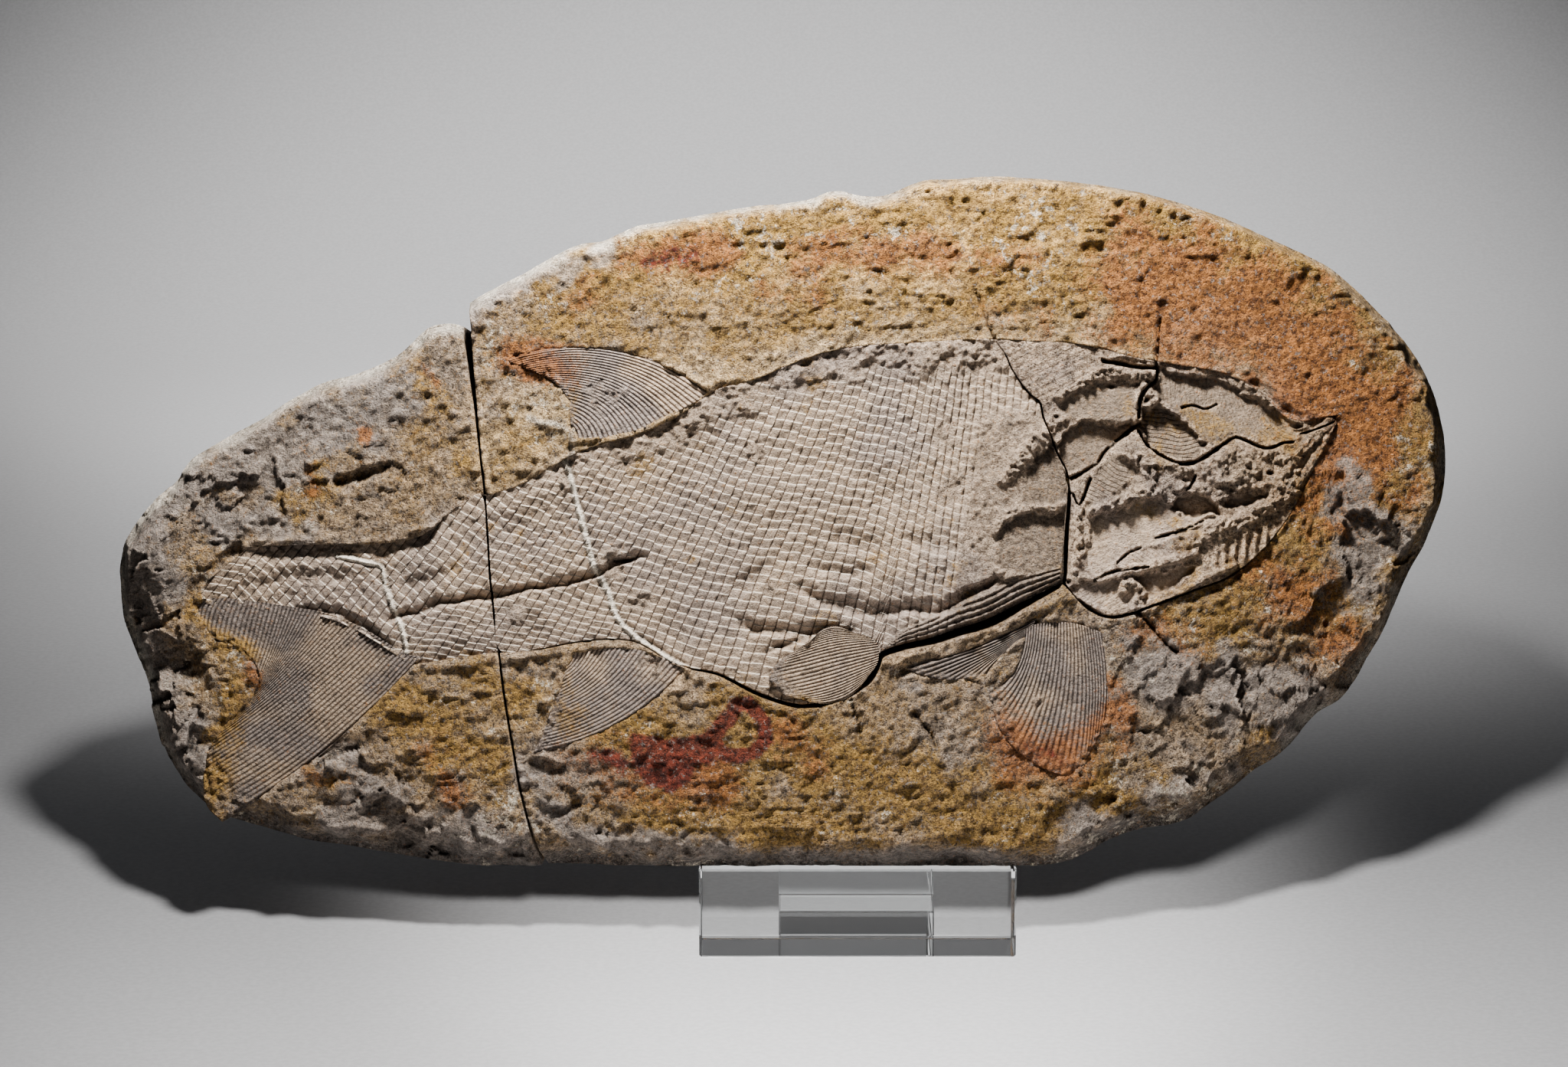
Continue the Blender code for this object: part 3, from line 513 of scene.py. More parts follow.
def make_piece(name, points, quads, triangles, material, looks):
    """A closed smooth mesh that rides on the root, turned so that it encloses a positive volume.

    Its looks are stored at its points: colours of four numbers (tint, stains) and triples (pattern).
    """
    points = np.asarray(points, float)
    corners = points[quads]
    volume = np.einsum("ij,ij->", corners[:, 0], np.cross(corners[:, 1], corners[:, 2]))
    volume += np.einsum("ij,ij->", corners[:, 0], np.cross(corners[:, 2], corners[:, 3]))
    if len(triangles):
        extra = points[triangles]
        volume += np.einsum("ij,ij->", extra[:, 0], np.cross(extra[:, 1], extra[:, 2]))
    if volume < 0:
        quads, triangles = quads[:, ::-1], triangles[:, ::-1]
    mesh = bpy.data.meshes.new(name)
    mesh.vertices.add(len(points))
    mesh.vertices.foreach_set("co", points.astype(np.float32).ravel())
    loops = np.concatenate((quads.ravel(), triangles.ravel())).astype(np.int32)
    sizes = np.concatenate((np.full(len(quads), 4), np.full(len(triangles), 3))).astype(np.int32)
    mesh.loops.add(len(loops))
    mesh.loops.foreach_set("vertex_index", loops)
    mesh.polygons.add(len(sizes))
    starts = np.concatenate(([0], np.cumsum(sizes)[:-1])).astype(np.int32)
    mesh.polygons.foreach_set("loop_start", starts)
    mesh.polygons.foreach_set("use_smooth", np.ones(len(sizes), bool))
    mesh.update(calc_edges=True)
    mesh.validate()
    for key, values in looks.items():
        if values.shape[1] == 4:
            layer = mesh.attributes.new(key, "FLOAT_COLOR", "POINT")
            layer.data.foreach_set("color", values.astype(np.float32).ravel())
        else:
            layer = mesh.attributes.new(key, "FLOAT_VECTOR", "POINT")
            layer.data.foreach_set("vector", values.astype(np.float32).ravel())
    made = bpy.data.objects.new(name, mesh)
    bpy.context.scene.collection.objects.link(made)
    mesh.materials.append(material)
    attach(made, "root")
    return made


def with_alpha(colour, alpha):
    """Colours of any grid as rows of four numbers, the fourth given."""
    flat = np.asarray(colour).reshape(-1, 3)
    return np.column_stack((flat, np.broadcast_to(alpha, colour.shape[:-1]).reshape(-1)))


def height_shaded(tint, height, reach):
    """The tint with a painted highlight where the surface stands above its neighbours some steps away, and
    painted shade below them.
    """
    around = sum(np.roll(height, step, axis) for axis in (0, 1) for step in (-reach, reach)) / 4
    return tint * np.clip(1 + 0.6 * (height - around), 0.5, 1.45)[..., None]


def inlay(name, x, y, height, depth, material, tint, grain, stains, pattern):
    """A grid of relief let into the stone, closed by walls down to its depth and by strips below."""
    # Painted highlight on the highs and painted shade in the lows.
    tint = height_shaded(tint, height, SHADE_REACH)
    rows, columns = x.shape
    top = on_stone(x, y, height).reshape(-1, 3)
    border = grid_border(rows, columns)
    count, first = len(border), len(top)
    low = on_stone(x.ravel()[border], y.ravel()[border], np.full(count, -depth))
    low_top = first + np.arange(columns)
    low_right = first + columns - 1 + np.arange(rows)
    low_bottom = (first + columns - 1 + rows - 1 + np.arange(columns))[::-1]
    low_left = np.concatenate(([low_top[0]], first + count - 1 - np.arange(rows - 2), [low_bottom[0]]))
    strip = np.stack((low_top[1:-2], low_bottom[1:-2], low_bottom[2:-1], low_top[2:-1]), -1)
    fans = []
    for inner_top, inner_bottom, side in ((low_top[1], low_bottom[1], low_left),
                                          (low_top[-2], low_bottom[-2], low_right)):
        fan = np.stack((np.full(rows - 1, inner_top), side[:-1], side[1:]), -1)
        fan = np.vstack((fan, [[inner_top, side[-1], inner_bottom]]))
        fans.append(fan if side is low_right else fan[:, ::-1])
    tints, stained, numbers = with_alpha(tint, grain), stains.reshape(-1, 4), pattern.reshape(-1, 3)
    looks = {
        # The walls down into the stone are darkened: painted shade.
        "tint": np.vstack((tints, tints[border] * (WALL_PAINTED_SHADE, WALL_PAINTED_SHADE, WALL_PAINTED_SHADE, 1.0))),
        "stains": np.vstack((stained, stained[border])),
        "pattern": np.vstack((numbers, numbers[border] * (1.0, 1.0, 0.0))),
    }
    quads = np.vstack((grid_quads(rows, columns), border_walls(border, first), strip))
    return make_piece(name, np.vstack((top, low)), quads, np.vstack(fans), material, looks)


# Colours, as they look on the screen
BEIGE = linear(170, 149, 127)
NEAR_FISH = linear(187, 159, 117)
GOLD = linear(204, 162, 88)
FISH_GREY = linear(150, 134, 121)
FIN_GREY = linear(134, 122, 114)
STONE_GREY = linear(129, 120, 113)
SAND = linear(158, 132, 98)
OCHRE = linear(150, 115, 45)
RUST = linear(154, 95, 46)
DEEP_RED = linear(102, 32, 24)
PALE = linear(232, 222, 204)
UMBER = linear(84, 58, 38)
PLATE = linear(112, 98, 84)
RIND = linear(160, 132, 92)

# Factors that lighten or darken a colour
LIGHT_SPECK = np.array((1.8, 1.75, 1.7))
DARK_SPECK = np.array((0.34, 0.29, 0.26))
PIT_PAINTED_SHADE = np.array((0.16, 0.12, 0.09))
STAIN_SHADE = np.array((0.42, 0.35, 0.31))
SCALE_SHADE = np.array((0.62, 0.59, 0.57))
GROOVE_SHADE = np.array((0.34, 0.28, 0.24))
FURROW_SHADE = np.array((0.30, 0.25, 0.21))
JOINT_SHADE = np.array((0.5, 0.45, 0.4))
SHOULDER_SHADE = np.array((0.72, 0.66, 0.6))
FLECK_SHADE = np.array((0.86, 0.83, 0.78))

# Over how many grid steps a surface's highs get a painted highlight and its lows painted shade
SHADE_REACH = 3

# Stains of the split face: a line of pixels, half width, and strength
OCHRE_STAINS = [
    ([(720, 380), (800, 345), (950, 310), (1100, 290), (1250, 280), (1400, 285), (1550, 330)], 70, 0.74),
    ([(1550, 320), (1660, 360), (1760, 440), (1820, 560), (1800, 660)], 75, 1.0),
    ([(700, 430), (800, 410), (950, 420)], 50, 0.6),
    ([(1000, 400), (1150, 385), (1280, 400)], 48, 0.62),
    ([(1300, 360), (1420, 380), (1500, 400)], 60, 0.8),
    ([(980, 960), (1080, 1000), (1200, 1040), (1330, 1080)], 62, 1.05),
    ([(760, 930), (850, 960), (950, 1000)], 46, 0.9),
    ([(860, 1050), (1000, 1080), (1150, 1090)], 46, 0.8),
    ([(500, 900), (560, 940), (640, 1010)], 48, 0.72),
    ([(620, 880), (660, 900), (740, 920)], 34, 0.65),
    ([(478, 490), (470, 530), (430, 570)], 20, 0.8),
    ([(530, 495), (525, 520)], 20, 0.9),
    ([(410, 585), (415, 640)], 24, 0.9),
    ([(360, 640), (385, 655)], 16, 0.7),
    ([(560, 520), (600, 600)], 26, 0.5),
    ([(262, 795), (285, 830), (310, 850)], 26, 1.0),
    ([(315, 890), (290, 950), (276, 1010), (275, 1060)], 24, 0.9),
    ([(400, 1000), (440, 1010)], 20, 0.8),
    ([(1640, 700), (1600, 790), (1560, 830)], 60, 0.8),
    ([(1760, 760), (1720, 860), (1640, 960)], 46, 0.6),
    ([(1450, 1000), (1380, 1060), (1500, 1050)], 44, 0.7),
    ([(1700, 600), (1720, 700), (1700, 780)], 44, 0.9),
    ([(760, 470), (745, 540)], 18, 0.4),
]
RUST_STAINS = [
    ([(1500, 370), (1600, 400), (1690, 450), (1750, 530), (1750, 620)], 78, 1.15),
    ([(1040, 350), (1120, 330), (1220, 325), (1330, 345)], 30, 0.62),
    ([(990, 385), (1060, 390)], 22, 0.5),
    ([(810, 335), (870, 335), (950, 330)], 26, 0.8),
    ([(740, 390), (790, 370)], 20, 0.5),
    ([(668, 466), (700, 470), (745, 480)], 22, 1.1),
    ([(1325, 965), (1370, 985), (1425, 940)], 46, 1.0),
    ([(1640, 740), (1690, 760), (1720, 830)], 50, 0.6),
    ([(1500, 830), (1560, 850)], 30, 0.5),
    ([(760, 1000), (850, 1010), (930, 1020)], 36, 0.6),
    ([(1010, 950), (1060, 990)], 26, 0.5),
    ([(330, 870), (340, 900)], 16, 0.6),
    ([(400, 1010), (450, 1015)], 14, 0.6),
    ([(395, 590), (410, 640)], 12, 0.9),
    ([(470, 560), (480, 575)], 10, 0.8),
    ([(555, 480), (570, 500)], 9, 0.7),
    ([(560, 980), (600, 1040)], 20, 0.6),
    ([(1290, 400), (1360, 420)], 30, 0.3),
]
RED_STAINS = [
    ([(963, 921), (977, 917), (997, 941), (1000, 965), (983, 985), (956, 988), (936, 980)], 7, 1.6),
    ([(963, 921), (950, 938), (930, 961), (896, 975), (862, 975), (832, 968)], 9, 1.5),
    ([(832, 968), (832, 988), (849, 1015), (876, 1025), (896, 1008), (889, 985)], 9, 1.5),
    ([(936, 980), (905, 992), (880, 988), (850, 980)], 13, 1.2),
    ([(780, 985), (830, 1000)], 16, 0.8),
    ([(845, 992), (882, 1000)], 16, 1.2),
    ([(1350, 975), (1390, 985)], 14, 0.4),
    ([(850, 345), (900, 335)], 14, 0.6),
]
GREY_STAINS = [
    ([(1760, 640), (1800, 700), (1770, 760)], 46, 1.0),
    ([(1500, 880), (1600, 900), (1700, 930)], 52, 1.0),
    ([(1400, 1080), (1500, 1060), (1600, 1000)], 30, 0.7),
    ([(1200, 900), (1250, 960), (1230, 1000)], 40, 0.4),
    ([(620, 400), (700, 360), (780, 330)], 26, 0.8),
    ([(250, 620), (330, 600), (400, 560), (500, 500)], 60, 0.9),
    ([(180, 700), (190, 800), (215, 900), (240, 1000)], 46, 1.0),
    ([(450, 1060), (560, 1090), (680, 1110)], 40, 1.0),
    ([(420, 960), (450, 1000), (520, 1050)], 30, 0.9),
    ([(240, 660), (300, 690), (400, 690)], 40, 0.8),
    ([(720, 1060), (760, 1090), (1000, 1120), (1300, 1125)], 22, 0.8),
    ([(690, 1000), (720, 1020)], 26, 0.7),
]


def stain(x, y, strokes, seed, size=34.0):
    """How strongly a stain shows: its strokes' strength, falling off sideways, broken up by clouds."""
    field = np.zeros(x.shape)
    for line, half_width, strength in strokes:
        away = distance_to(x, y, line, reach=1.7 * half_width)
        field = np.maximum(field, strength * (1 - away / (1.7 * half_width)))
    patches = 0.30 * cloud(x, y, size, seed, 4)
    return np.clip(field + patches * ramp(field, 0.02, 0.3), 0, 1.5)


def stain_amounts(x, y):
    """Ochre, rust, deep red and pale flecks as four numbers a point; the shader breaks their edges up."""
    flecks = 0.5 * ramp(cloud(x, y, 90, 153, 3), -0.6, 0.9) + 0.25 * cloud(x, y, 22, 151, 3)
    flecks = flecks + 0.12 * (1 - ramp(y, 300, 430)) + 0.12 * ramp(y, 960, 1040)
    rust = stain(x, y, RUST_STAINS, 131)
    red = stain(x, y, RED_STAINS, 141, 12)
    red_free = (1 - 0.6 * ramp(rust, 0.3, 0.6)) * (1 - 0.6 * ramp(red, 0.2, 0.6))
    ochre = np.maximum(stain(x, y, OCHRE_STAINS, 111), 0.24 + 0.2 * cloud(x, y, 60, 113, 4))
    return np.stack((ochre, rust, red, np.clip(flecks * red_free, 0, 1)), -1)


def blend(under, over, amount):
    """Mixes a colour over others by an amount at each point."""
    return under + (over - under) * amount[..., None]


def stone_tint(x, y):
    """The stone's colour: grey to sand, beige round the fish, golden at the top, greyer in patches, and
    brighter along the top as painted light.

    Also returns how grey those patches are.
    """
    warm = ramp(cloud(x, y, 90, 101, 4), -0.7, 0.9)
    tint = blend(STONE_GREY, SAND, 0.35 + 0.45 * warm)
    near_fish = 1 - ramp(np.abs(y - np.interp(x, (600, 900, 1200, 1500), (600, 480, 430, 440))), 20, 90)
    tint = blend(tint, NEAR_FISH, 0.8 * near_fish * ramp(x, 560, 660))
    tint = blend(tint, GOLD, 0.8 * (1 - ramp(y, 340, 430)) * ramp(x, 640, 760))
    grey = ramp(stain(x, y, GREY_STAINS, 121, 24), 0.3, 0.7)
    tint = blend(tint, STONE_GREY, 0.8 * grey)
    grey_flecks = ramp(cloud(x, y, 15, 155, 3), 0.65, 1.05)
    tint = blend(tint, STONE_GREY, 0.55 * grey_flecks)
    # Brighter along the top: painted light.
    return tint * (1 + 0.1 * cloud(x, y, 12, 161, 3) + 0.2 * (1 - ramp(y, 320, 460)))[..., None], grey


def rim_fall(x, y, rims, widths):
    """How far the face falls towards the stone's outer edges, and how far away they are."""
    away = np.full(x.shape, 200.0)
    for rim in rims:
        away = np.minimum(away, distance_to(x, y, smooth_line(rim, step=9), reach=200.0))
    ragged = 1 + 0.35 * cloud(x, y, 40, 201, 3)
    width = np.interp(y, *widths) * ragged
    return -RIM_DROP * (1 - ramp(away + 0.5, 0, np.maximum(width, 5))), away


RIM_WIDTHS = ((300, 500, 950, 1050, 1134), (13, 20, 30, 34, 36))

RIND_PATCHES = [
    ([(1765, 368), (1800, 400), (1835, 440), (1850, 465)], 15, 1.2),
    ([(1872, 495), (1886, 540), (1892, 575)], 9, 1.2),
]

# Where the face is broken rock: a line of pixels, half width and height of the ledges in millimetres
LEDGES = [
    ([(1760, 650), (1800, 720), (1740, 800)], 60, 2.6),
    ([(1500, 880), (1600, 905), (1700, 900), (1760, 860)], 55, 2.8),
    ([(1500, 960), (1600, 980), (1650, 950)], 60, 1.8),
    ([(1640, 740), (1690, 720)], 40, 1.6),
    ([(200, 650), (190, 780), (220, 900), (250, 1000)], 55, 3.4),
    ([(430, 980), (500, 1040), (560, 1090)], 52, 3.4),
    ([(620, 1080), (690, 1100)], 34, 2.2),
    ([(730, 1040), (780, 1080), (840, 1110)], 34, 2.6),
    ([(250, 640), (330, 640), (440, 620), (500, 600)], 44, 2.0),
    ([(560, 430), (590, 450)], 26, 1.6),
    ([(900, 1100), (1100, 1110), (1300, 1110)], 22, 2.0),
    ([(1390, 1080), (1460, 1060), (1560, 1030)], 36, 2.4),
    ([(1700, 1000), (1640, 1010)], 30, 1.8),
    ([(330, 560), (420, 520)], 30, 1.2),
    ([(690, 1005), (720, 1020)], 24, 1.5),
]
DENTS = [
    ([(440, 632), (500, 612)], 11, 1.9),
    ([(160, 780), (200, 850), (235, 870)], 40, 3.0),
    ([(495, 1060), (540, 1090)], 30, 2.2),
    ([(1560, 660), (1575, 662)], 8, 0.5),
]


# Thin cracks of the stone's face, and pale mineral threads on it: line, half width, depth
STONE_CRACKS = [
    ([(1275, 380), (1283, 402), (1290, 420), (1300, 446)], 2.6, 1.8),
    ([(1515, 415), (1514, 440), (1512, 472)], 2.2, 1.2),
    ([(1488, 801), (1500, 812), (1512, 828), (1525, 842), (1537, 852)], 2.8, 1.8),
    ([(1112, 912), (1115, 925), (1120, 940), (1123, 955), (1125, 970)], 2.0, 1.0),
    ([(545, 866), (525, 868), (510, 890), (497, 902), (480, 912), (465, 930), (450, 945)], 2.6, 1.6),
    ([(1195, 930), (1205, 945), (1216, 958), (1222, 975)], 3.4, 1.0),
]
STONE_THREADS = [
    ([(690, 545), (705, 552), (722, 553), (735, 558), (746, 568), (748, 585), (745, 598)], 4.0, 0.55),
    ([(750, 563), (754, 540), (757, 520)], 2.4, 0.3),
]


def beside(x, y, line, half_width, spread):
    """1 on a thin line, falling off to 0 beside it."""
    away = distance_to(x, y, smooth_line(line, step=6), reach=2 * half_width)
    return bump(away, spread * half_width)


def stone_relief(x, y, rims):
    """The face outside the fish: swells, crusty grain, ledges, dents, cracks and the rim.

    Also returns the distance to the rim and the height of the crust alone.
    """
    fall, away = rim_fall(x, y, rims, RIM_WIDTHS)
    crust = 0.36 * cloud(x * 0.8, y, 30, 213, 4) + 0.8 * np.maximum(cloud(x, y, 18, 217, 3) - 0.45, 0)
    for size, rise in ((30, 0.45), (15, 0.6), (8.5, 0.62)):
        crust += rise * (np.abs(noise(x * 0.78 + 0.2 * y, y, size, 211 + int(size))) - 0.33)
    calm = 0.4 * ramp(x, 1450, 1600) * (1 - ramp(y, 600, 700)) * ramp(away, 30, 80)
    crust *= 1 - calm
    broken = facets(x, y, 62, 221) + 0.5 * facets(x, y, 25, 225)
    ledges = np.zeros(x.shape)
    for line, half_width, size in LEDGES:
        away_from_line = distance_to(x, y, line, reach=1.3 * half_width)
        cover = 1 - ramp(away_from_line, 0.3 * half_width, 1.3 * half_width)
        ledges = np.maximum(ledges, cover * size)
    crust *= 1 - 0.72 * ramp(ledges, 0.4, 2.0)
    height = face_level(x, y) + fall + crust + 0.9 * ledges * broken - 0.4
    for line, half_width, depth in DENTS:
        height -= depth * (1 - ramp(distance_to(x, y, line, reach=half_width), 0, half_width))
    for line, half_width, depth in STONE_CRACKS:
        height -= depth * beside(x, y, line, half_width, 1.3)
    for line, half_width, rise in STONE_THREADS:
        height += rise * beside(x, y, line, half_width, 1.5)
    return height, away, crust


def snapped(x, y):
    """Draws the points nearest a thin crack or thread onto its line, so that the sheet bends just there."""
    for line, _, _ in STONE_CRACKS + STONE_THREADS:
        curve = smooth_line(line, step=4)
        low, high = curve.min(0) - 3, curve.max(0) + 3
        near = (x > low[0]) & (x < high[0]) & (y > low[1]) & (y < high[1])
        px, py = x[near], y[near]
        if not len(px):
            continue
        away = np.hypot(px[:, None] - curve[None, :, 0], py[:, None] - curve[None, :, 1])
        steepness = np.abs(np.gradient(curve[:, 1])) > np.abs(np.gradient(curve[:, 0]))
        nearest = away.argmin(1)
        level_x = np.interp(py, *curve[np.argsort(curve[:, 1])][:, ::-1].T)
        level_y = np.interp(px, *curve[np.argsort(curve[:, 0])].T)
        upright = steepness[nearest]
        close = away.min(1) < 2.6
        x[near] = np.where(close & upright & (np.abs(level_x - px) < 1.5), level_x, px)
        y[near] = np.where(close & ~upright & (np.abs(level_y - py) < 1.5), level_y, py)
    return x, y


# The rows of a stone's sheet under the fish, between its curves 1 and 2: close at the fish's two borders, and
# few between them
BAND_LEVELS = (1.012, 1.05, 1.3, 1.6, 1.95, 1.988)

STONE_CENTRE_PX = (1010.0, 690.0)
BACK_RINGS = (
    (0.999, -9.0), (0.998, -12.0), (0.995, -16.0), (0.985, -20.0), (0.965, -24.0), (0.93, -28.5),
    (0.88, -32.0), (0.8, -34.8), (0.66, -35.8), (0.45, -36.0),
)


def stone_sheet(curves, ends, columns, rows_between):
    """Rows that follow the given curves from top to bottom and bend at both ends to the end lines.

    Returns the pixels of its points and their levels, which are whole numbers on the curves.
    """
    above, below = rows_between
    levels = np.concatenate((np.linspace(0, 1, above), BAND_LEVELS, np.linspace(2, 3, below)))
    s = np.linspace(0, 1, columns)[None, :]
    lines = np.array([smooth_line(curve, count=columns) for curve in curves])
    floor_index = np.minimum(levels.astype(int), len(curves) - 2)
    share = (levels - floor_index)[:, None, None]
    sheet = lines[floor_index] * (1 - share) + lines[floor_index + 1] * share
    for end, weight in ((0, 1 - s), (-1, s)):
        border = smooth_line(ends[end], count=2000)
        steps = walked_along(sheet[:, end])
        target = points_at(border, steps / steps[-1] * walked_along(border)[-1])
        sheet = sheet + (target - sheet[:, end])[:, None, :] * (weight**3)[..., None]
    x, y = snapped(sheet[..., 0].copy(), sheet[..., 1].copy())
    return x, y, levels[:, None] + 0 * x


def stone_colours(x, y, height, away, crust, sunk):
    """A face's tints and stains: a pale top rim that is a painted highlight, painted shade along its foot,
    its rind, cracks darkened with painted shade, threads, and hollows darkened with painted shade.
    """
    tint, grey = stone_tint(x, y)
    stains = stain_amounts(x, y)
    # Lighter where the crust stands high and darker where it lies low, then painted highlight and painted
    # shade by height.
    tint = height_shaded(tint * np.clip(1 + 0.3 * crust, 0.5, 1.5)[..., None], height, SHADE_REACH)
    # A pale band along the upper rim: a painted highlight where the top edge faces the light.
    worn = (1 - ramp(away + 5 * cloud(x, y, 30, 171, 3), 3, 21)) * ramp(REST_TOP_PX - y, 60, 260)
    worn = worn * np.interp(x, (150, 560, 640, 1100, 1190), (0.75, 0.8, 1.0, 1.0, 0.35))
    worn = worn * np.clip(0.8 + 0.6 * cloud(x, y, 26, 177, 3), 0.15, 1)
    tint = blend(tint, PALE * 1.1, 0.95 * worn)
    # Darker along the bottom rim, which faces down: painted shade.
    bottom_rim_shade = (1 - ramp(away + 8 * cloud(x, y, 24, 173, 3), 6, 34)) * ramp(y, 980, 1080)
    tint = blend(tint, STONE_GREY * 0.42, 0.85 * bottom_rim_shade)
    rind = ramp(stain(x, y, RIND_PATCHES, 175, 20), 0.3, 0.5)
    tint = blend(tint, RIND, rind)
    clean = (1 - 0.75 * grey) * (1 - np.maximum(0.9 * worn, 0.8 * bottom_rim_shade)) * (1 - rind)
    stains[..., :3] *= clean[..., None]
    # The thin cracks are darkened: painted shade.
    for line, half_width, _ in STONE_CRACKS:
        tint = blend(tint, UMBER * 0.3, 0.9 * beside(x, y, line, half_width, 1.2))
    for line, half_width, _ in STONE_THREADS:
        tint = blend(tint, PALE, 0.9 * beside(x, y, line, half_width, 1.5))
    # The stone's sunk parts under the fish and its fins are darkened: painted shade.
    tint = blend(tint, UMBER * 0.35, ramp(-sunk, 2.5, 6.0) * 0.8)
    return with_alpha(tint, 1 - 0.4 * grey), stains.reshape(-1, 4)


def stone_back(x, y, height):
    """Rings that carry a face's border round to the back, and a hub that closes them.

    Returns their points, tints and stains.
    """
    count = len(x)
    centre_x, centre_y = STONE_CENTRE_PX
    free = ramp(np.minimum(distance_to(x, y, TAIL_BREAK), distance_to(x, y, MAIN_BREAK)), 6, 60)
    around = walked_along(np.column_stack((x, y)))
    points, tints, stains = [], [], []
    for number, (ring_share, ring_height) in enumerate(BACK_RINGS):
        rough = cloud(around, np.full(count, 40.0 * number), 90, 231, 4) * free
        drawn = ring_share + 0.012 * (rough - 1) * min(number + 1, 3) / 3 * free
        lift = 0.8 * rough * (number < len(BACK_RINGS) - 1)
        ring_height = np.maximum(ring_height + lift, -STONE_THICKNESS)
        if number < 3:
            ring_height = np.minimum(ring_height, height - 0.7 * (number + 1))
        ring_x, ring_y = centre_x + (x - centre_x) * drawn, centre_y + (y - centre_y) * drawn
        points.append(on_stone(ring_x, ring_y, ring_height))
        patch = ramp(cloud(around, np.full(count, 37.0 * number), 140, 241, 4), -0.3, 0.6)
        tints.append(with_alpha(blend(STONE_GREY, SAND, 0.4 + 0.3 * rough), 1.0))
        stains.append(np.column_stack((0.55 * patch, 0.3 * np.roll(patch, 40), 0 * patch, 0.4 + 0 * patch)))
    hub_x = centre_x + (x.mean() - centre_x) * BACK_RINGS[-1][0]
    hub_y = centre_y + (y.mean() - centre_y) * BACK_RINGS[-1][0]
    points.append(on_stone(*(np.array([value]) for value in (hub_x, hub_y, -STONE_THICKNESS))))
    tints.append(tints[-1].mean(0, keepdims=True))
    stains.append(stains[-1].mean(0, keepdims=True))
    return np.vstack(points), np.vstack(tints), np.vstack(stains)


def stone_block(name, curves, ends, rims, hollow, columns, rows_between, node):
    """One stone: a sheet for its face, and rings that carry its border round to the back."""
    x, y, level = stone_sheet(curves, ends, columns, rows_between)
    height, away, crust = stone_relief(x, y, rims)
    sunk = hollow(x, y, level)
    height = height + sunk
    tint, stains = stone_colours(x, y, height, away, crust, sunk)
    top = on_stone(x, y, height).reshape(-1, 3)
    border = grid_border(*x.shape)
    back, back_tint, back_stains = stone_back(*(values.ravel()[border] for values in (x, y, height)))
    count, first = len(border), len(top)
    last = first + (len(BACK_RINGS) - 1) * count
    rings = grid_quads(len(BACK_RINGS), count, first, wrap=True)
    quads = np.vstack((grid_quads(*x.shape), border_walls(border, first), rings[:, ::-1]))
    step = np.arange(count)
    triangles = np.stack((np.full(count, last + count), last + (step + 1) % count, last + step), -1)
    looks = {"tint": np.vstack((tint, back_tint)), "stains": np.vstack((stains, back_stains))}
    made = make_piece(name, np.vstack((top, back)), quads, triangles, STONE, looks)
    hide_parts(node)


# Shader helpers
class Value:
    """A number socket that can be used in ordinary maths."""

    def __init__(self, look, socket):
        self.look, self.socket = look, socket

    def __add__(self, other):
        return self.look.maths("ADD", self, other)

    def __sub__(self, other):
        return self.look.maths("SUBTRACT", self, other)

    def __rsub__(self, other):
        return self.look.maths("SUBTRACT", other, self)

    def __mul__(self, other):
        return self.look.maths("MULTIPLY", self, other)

    __radd__ = __add__
    __rmul__ = __mul__


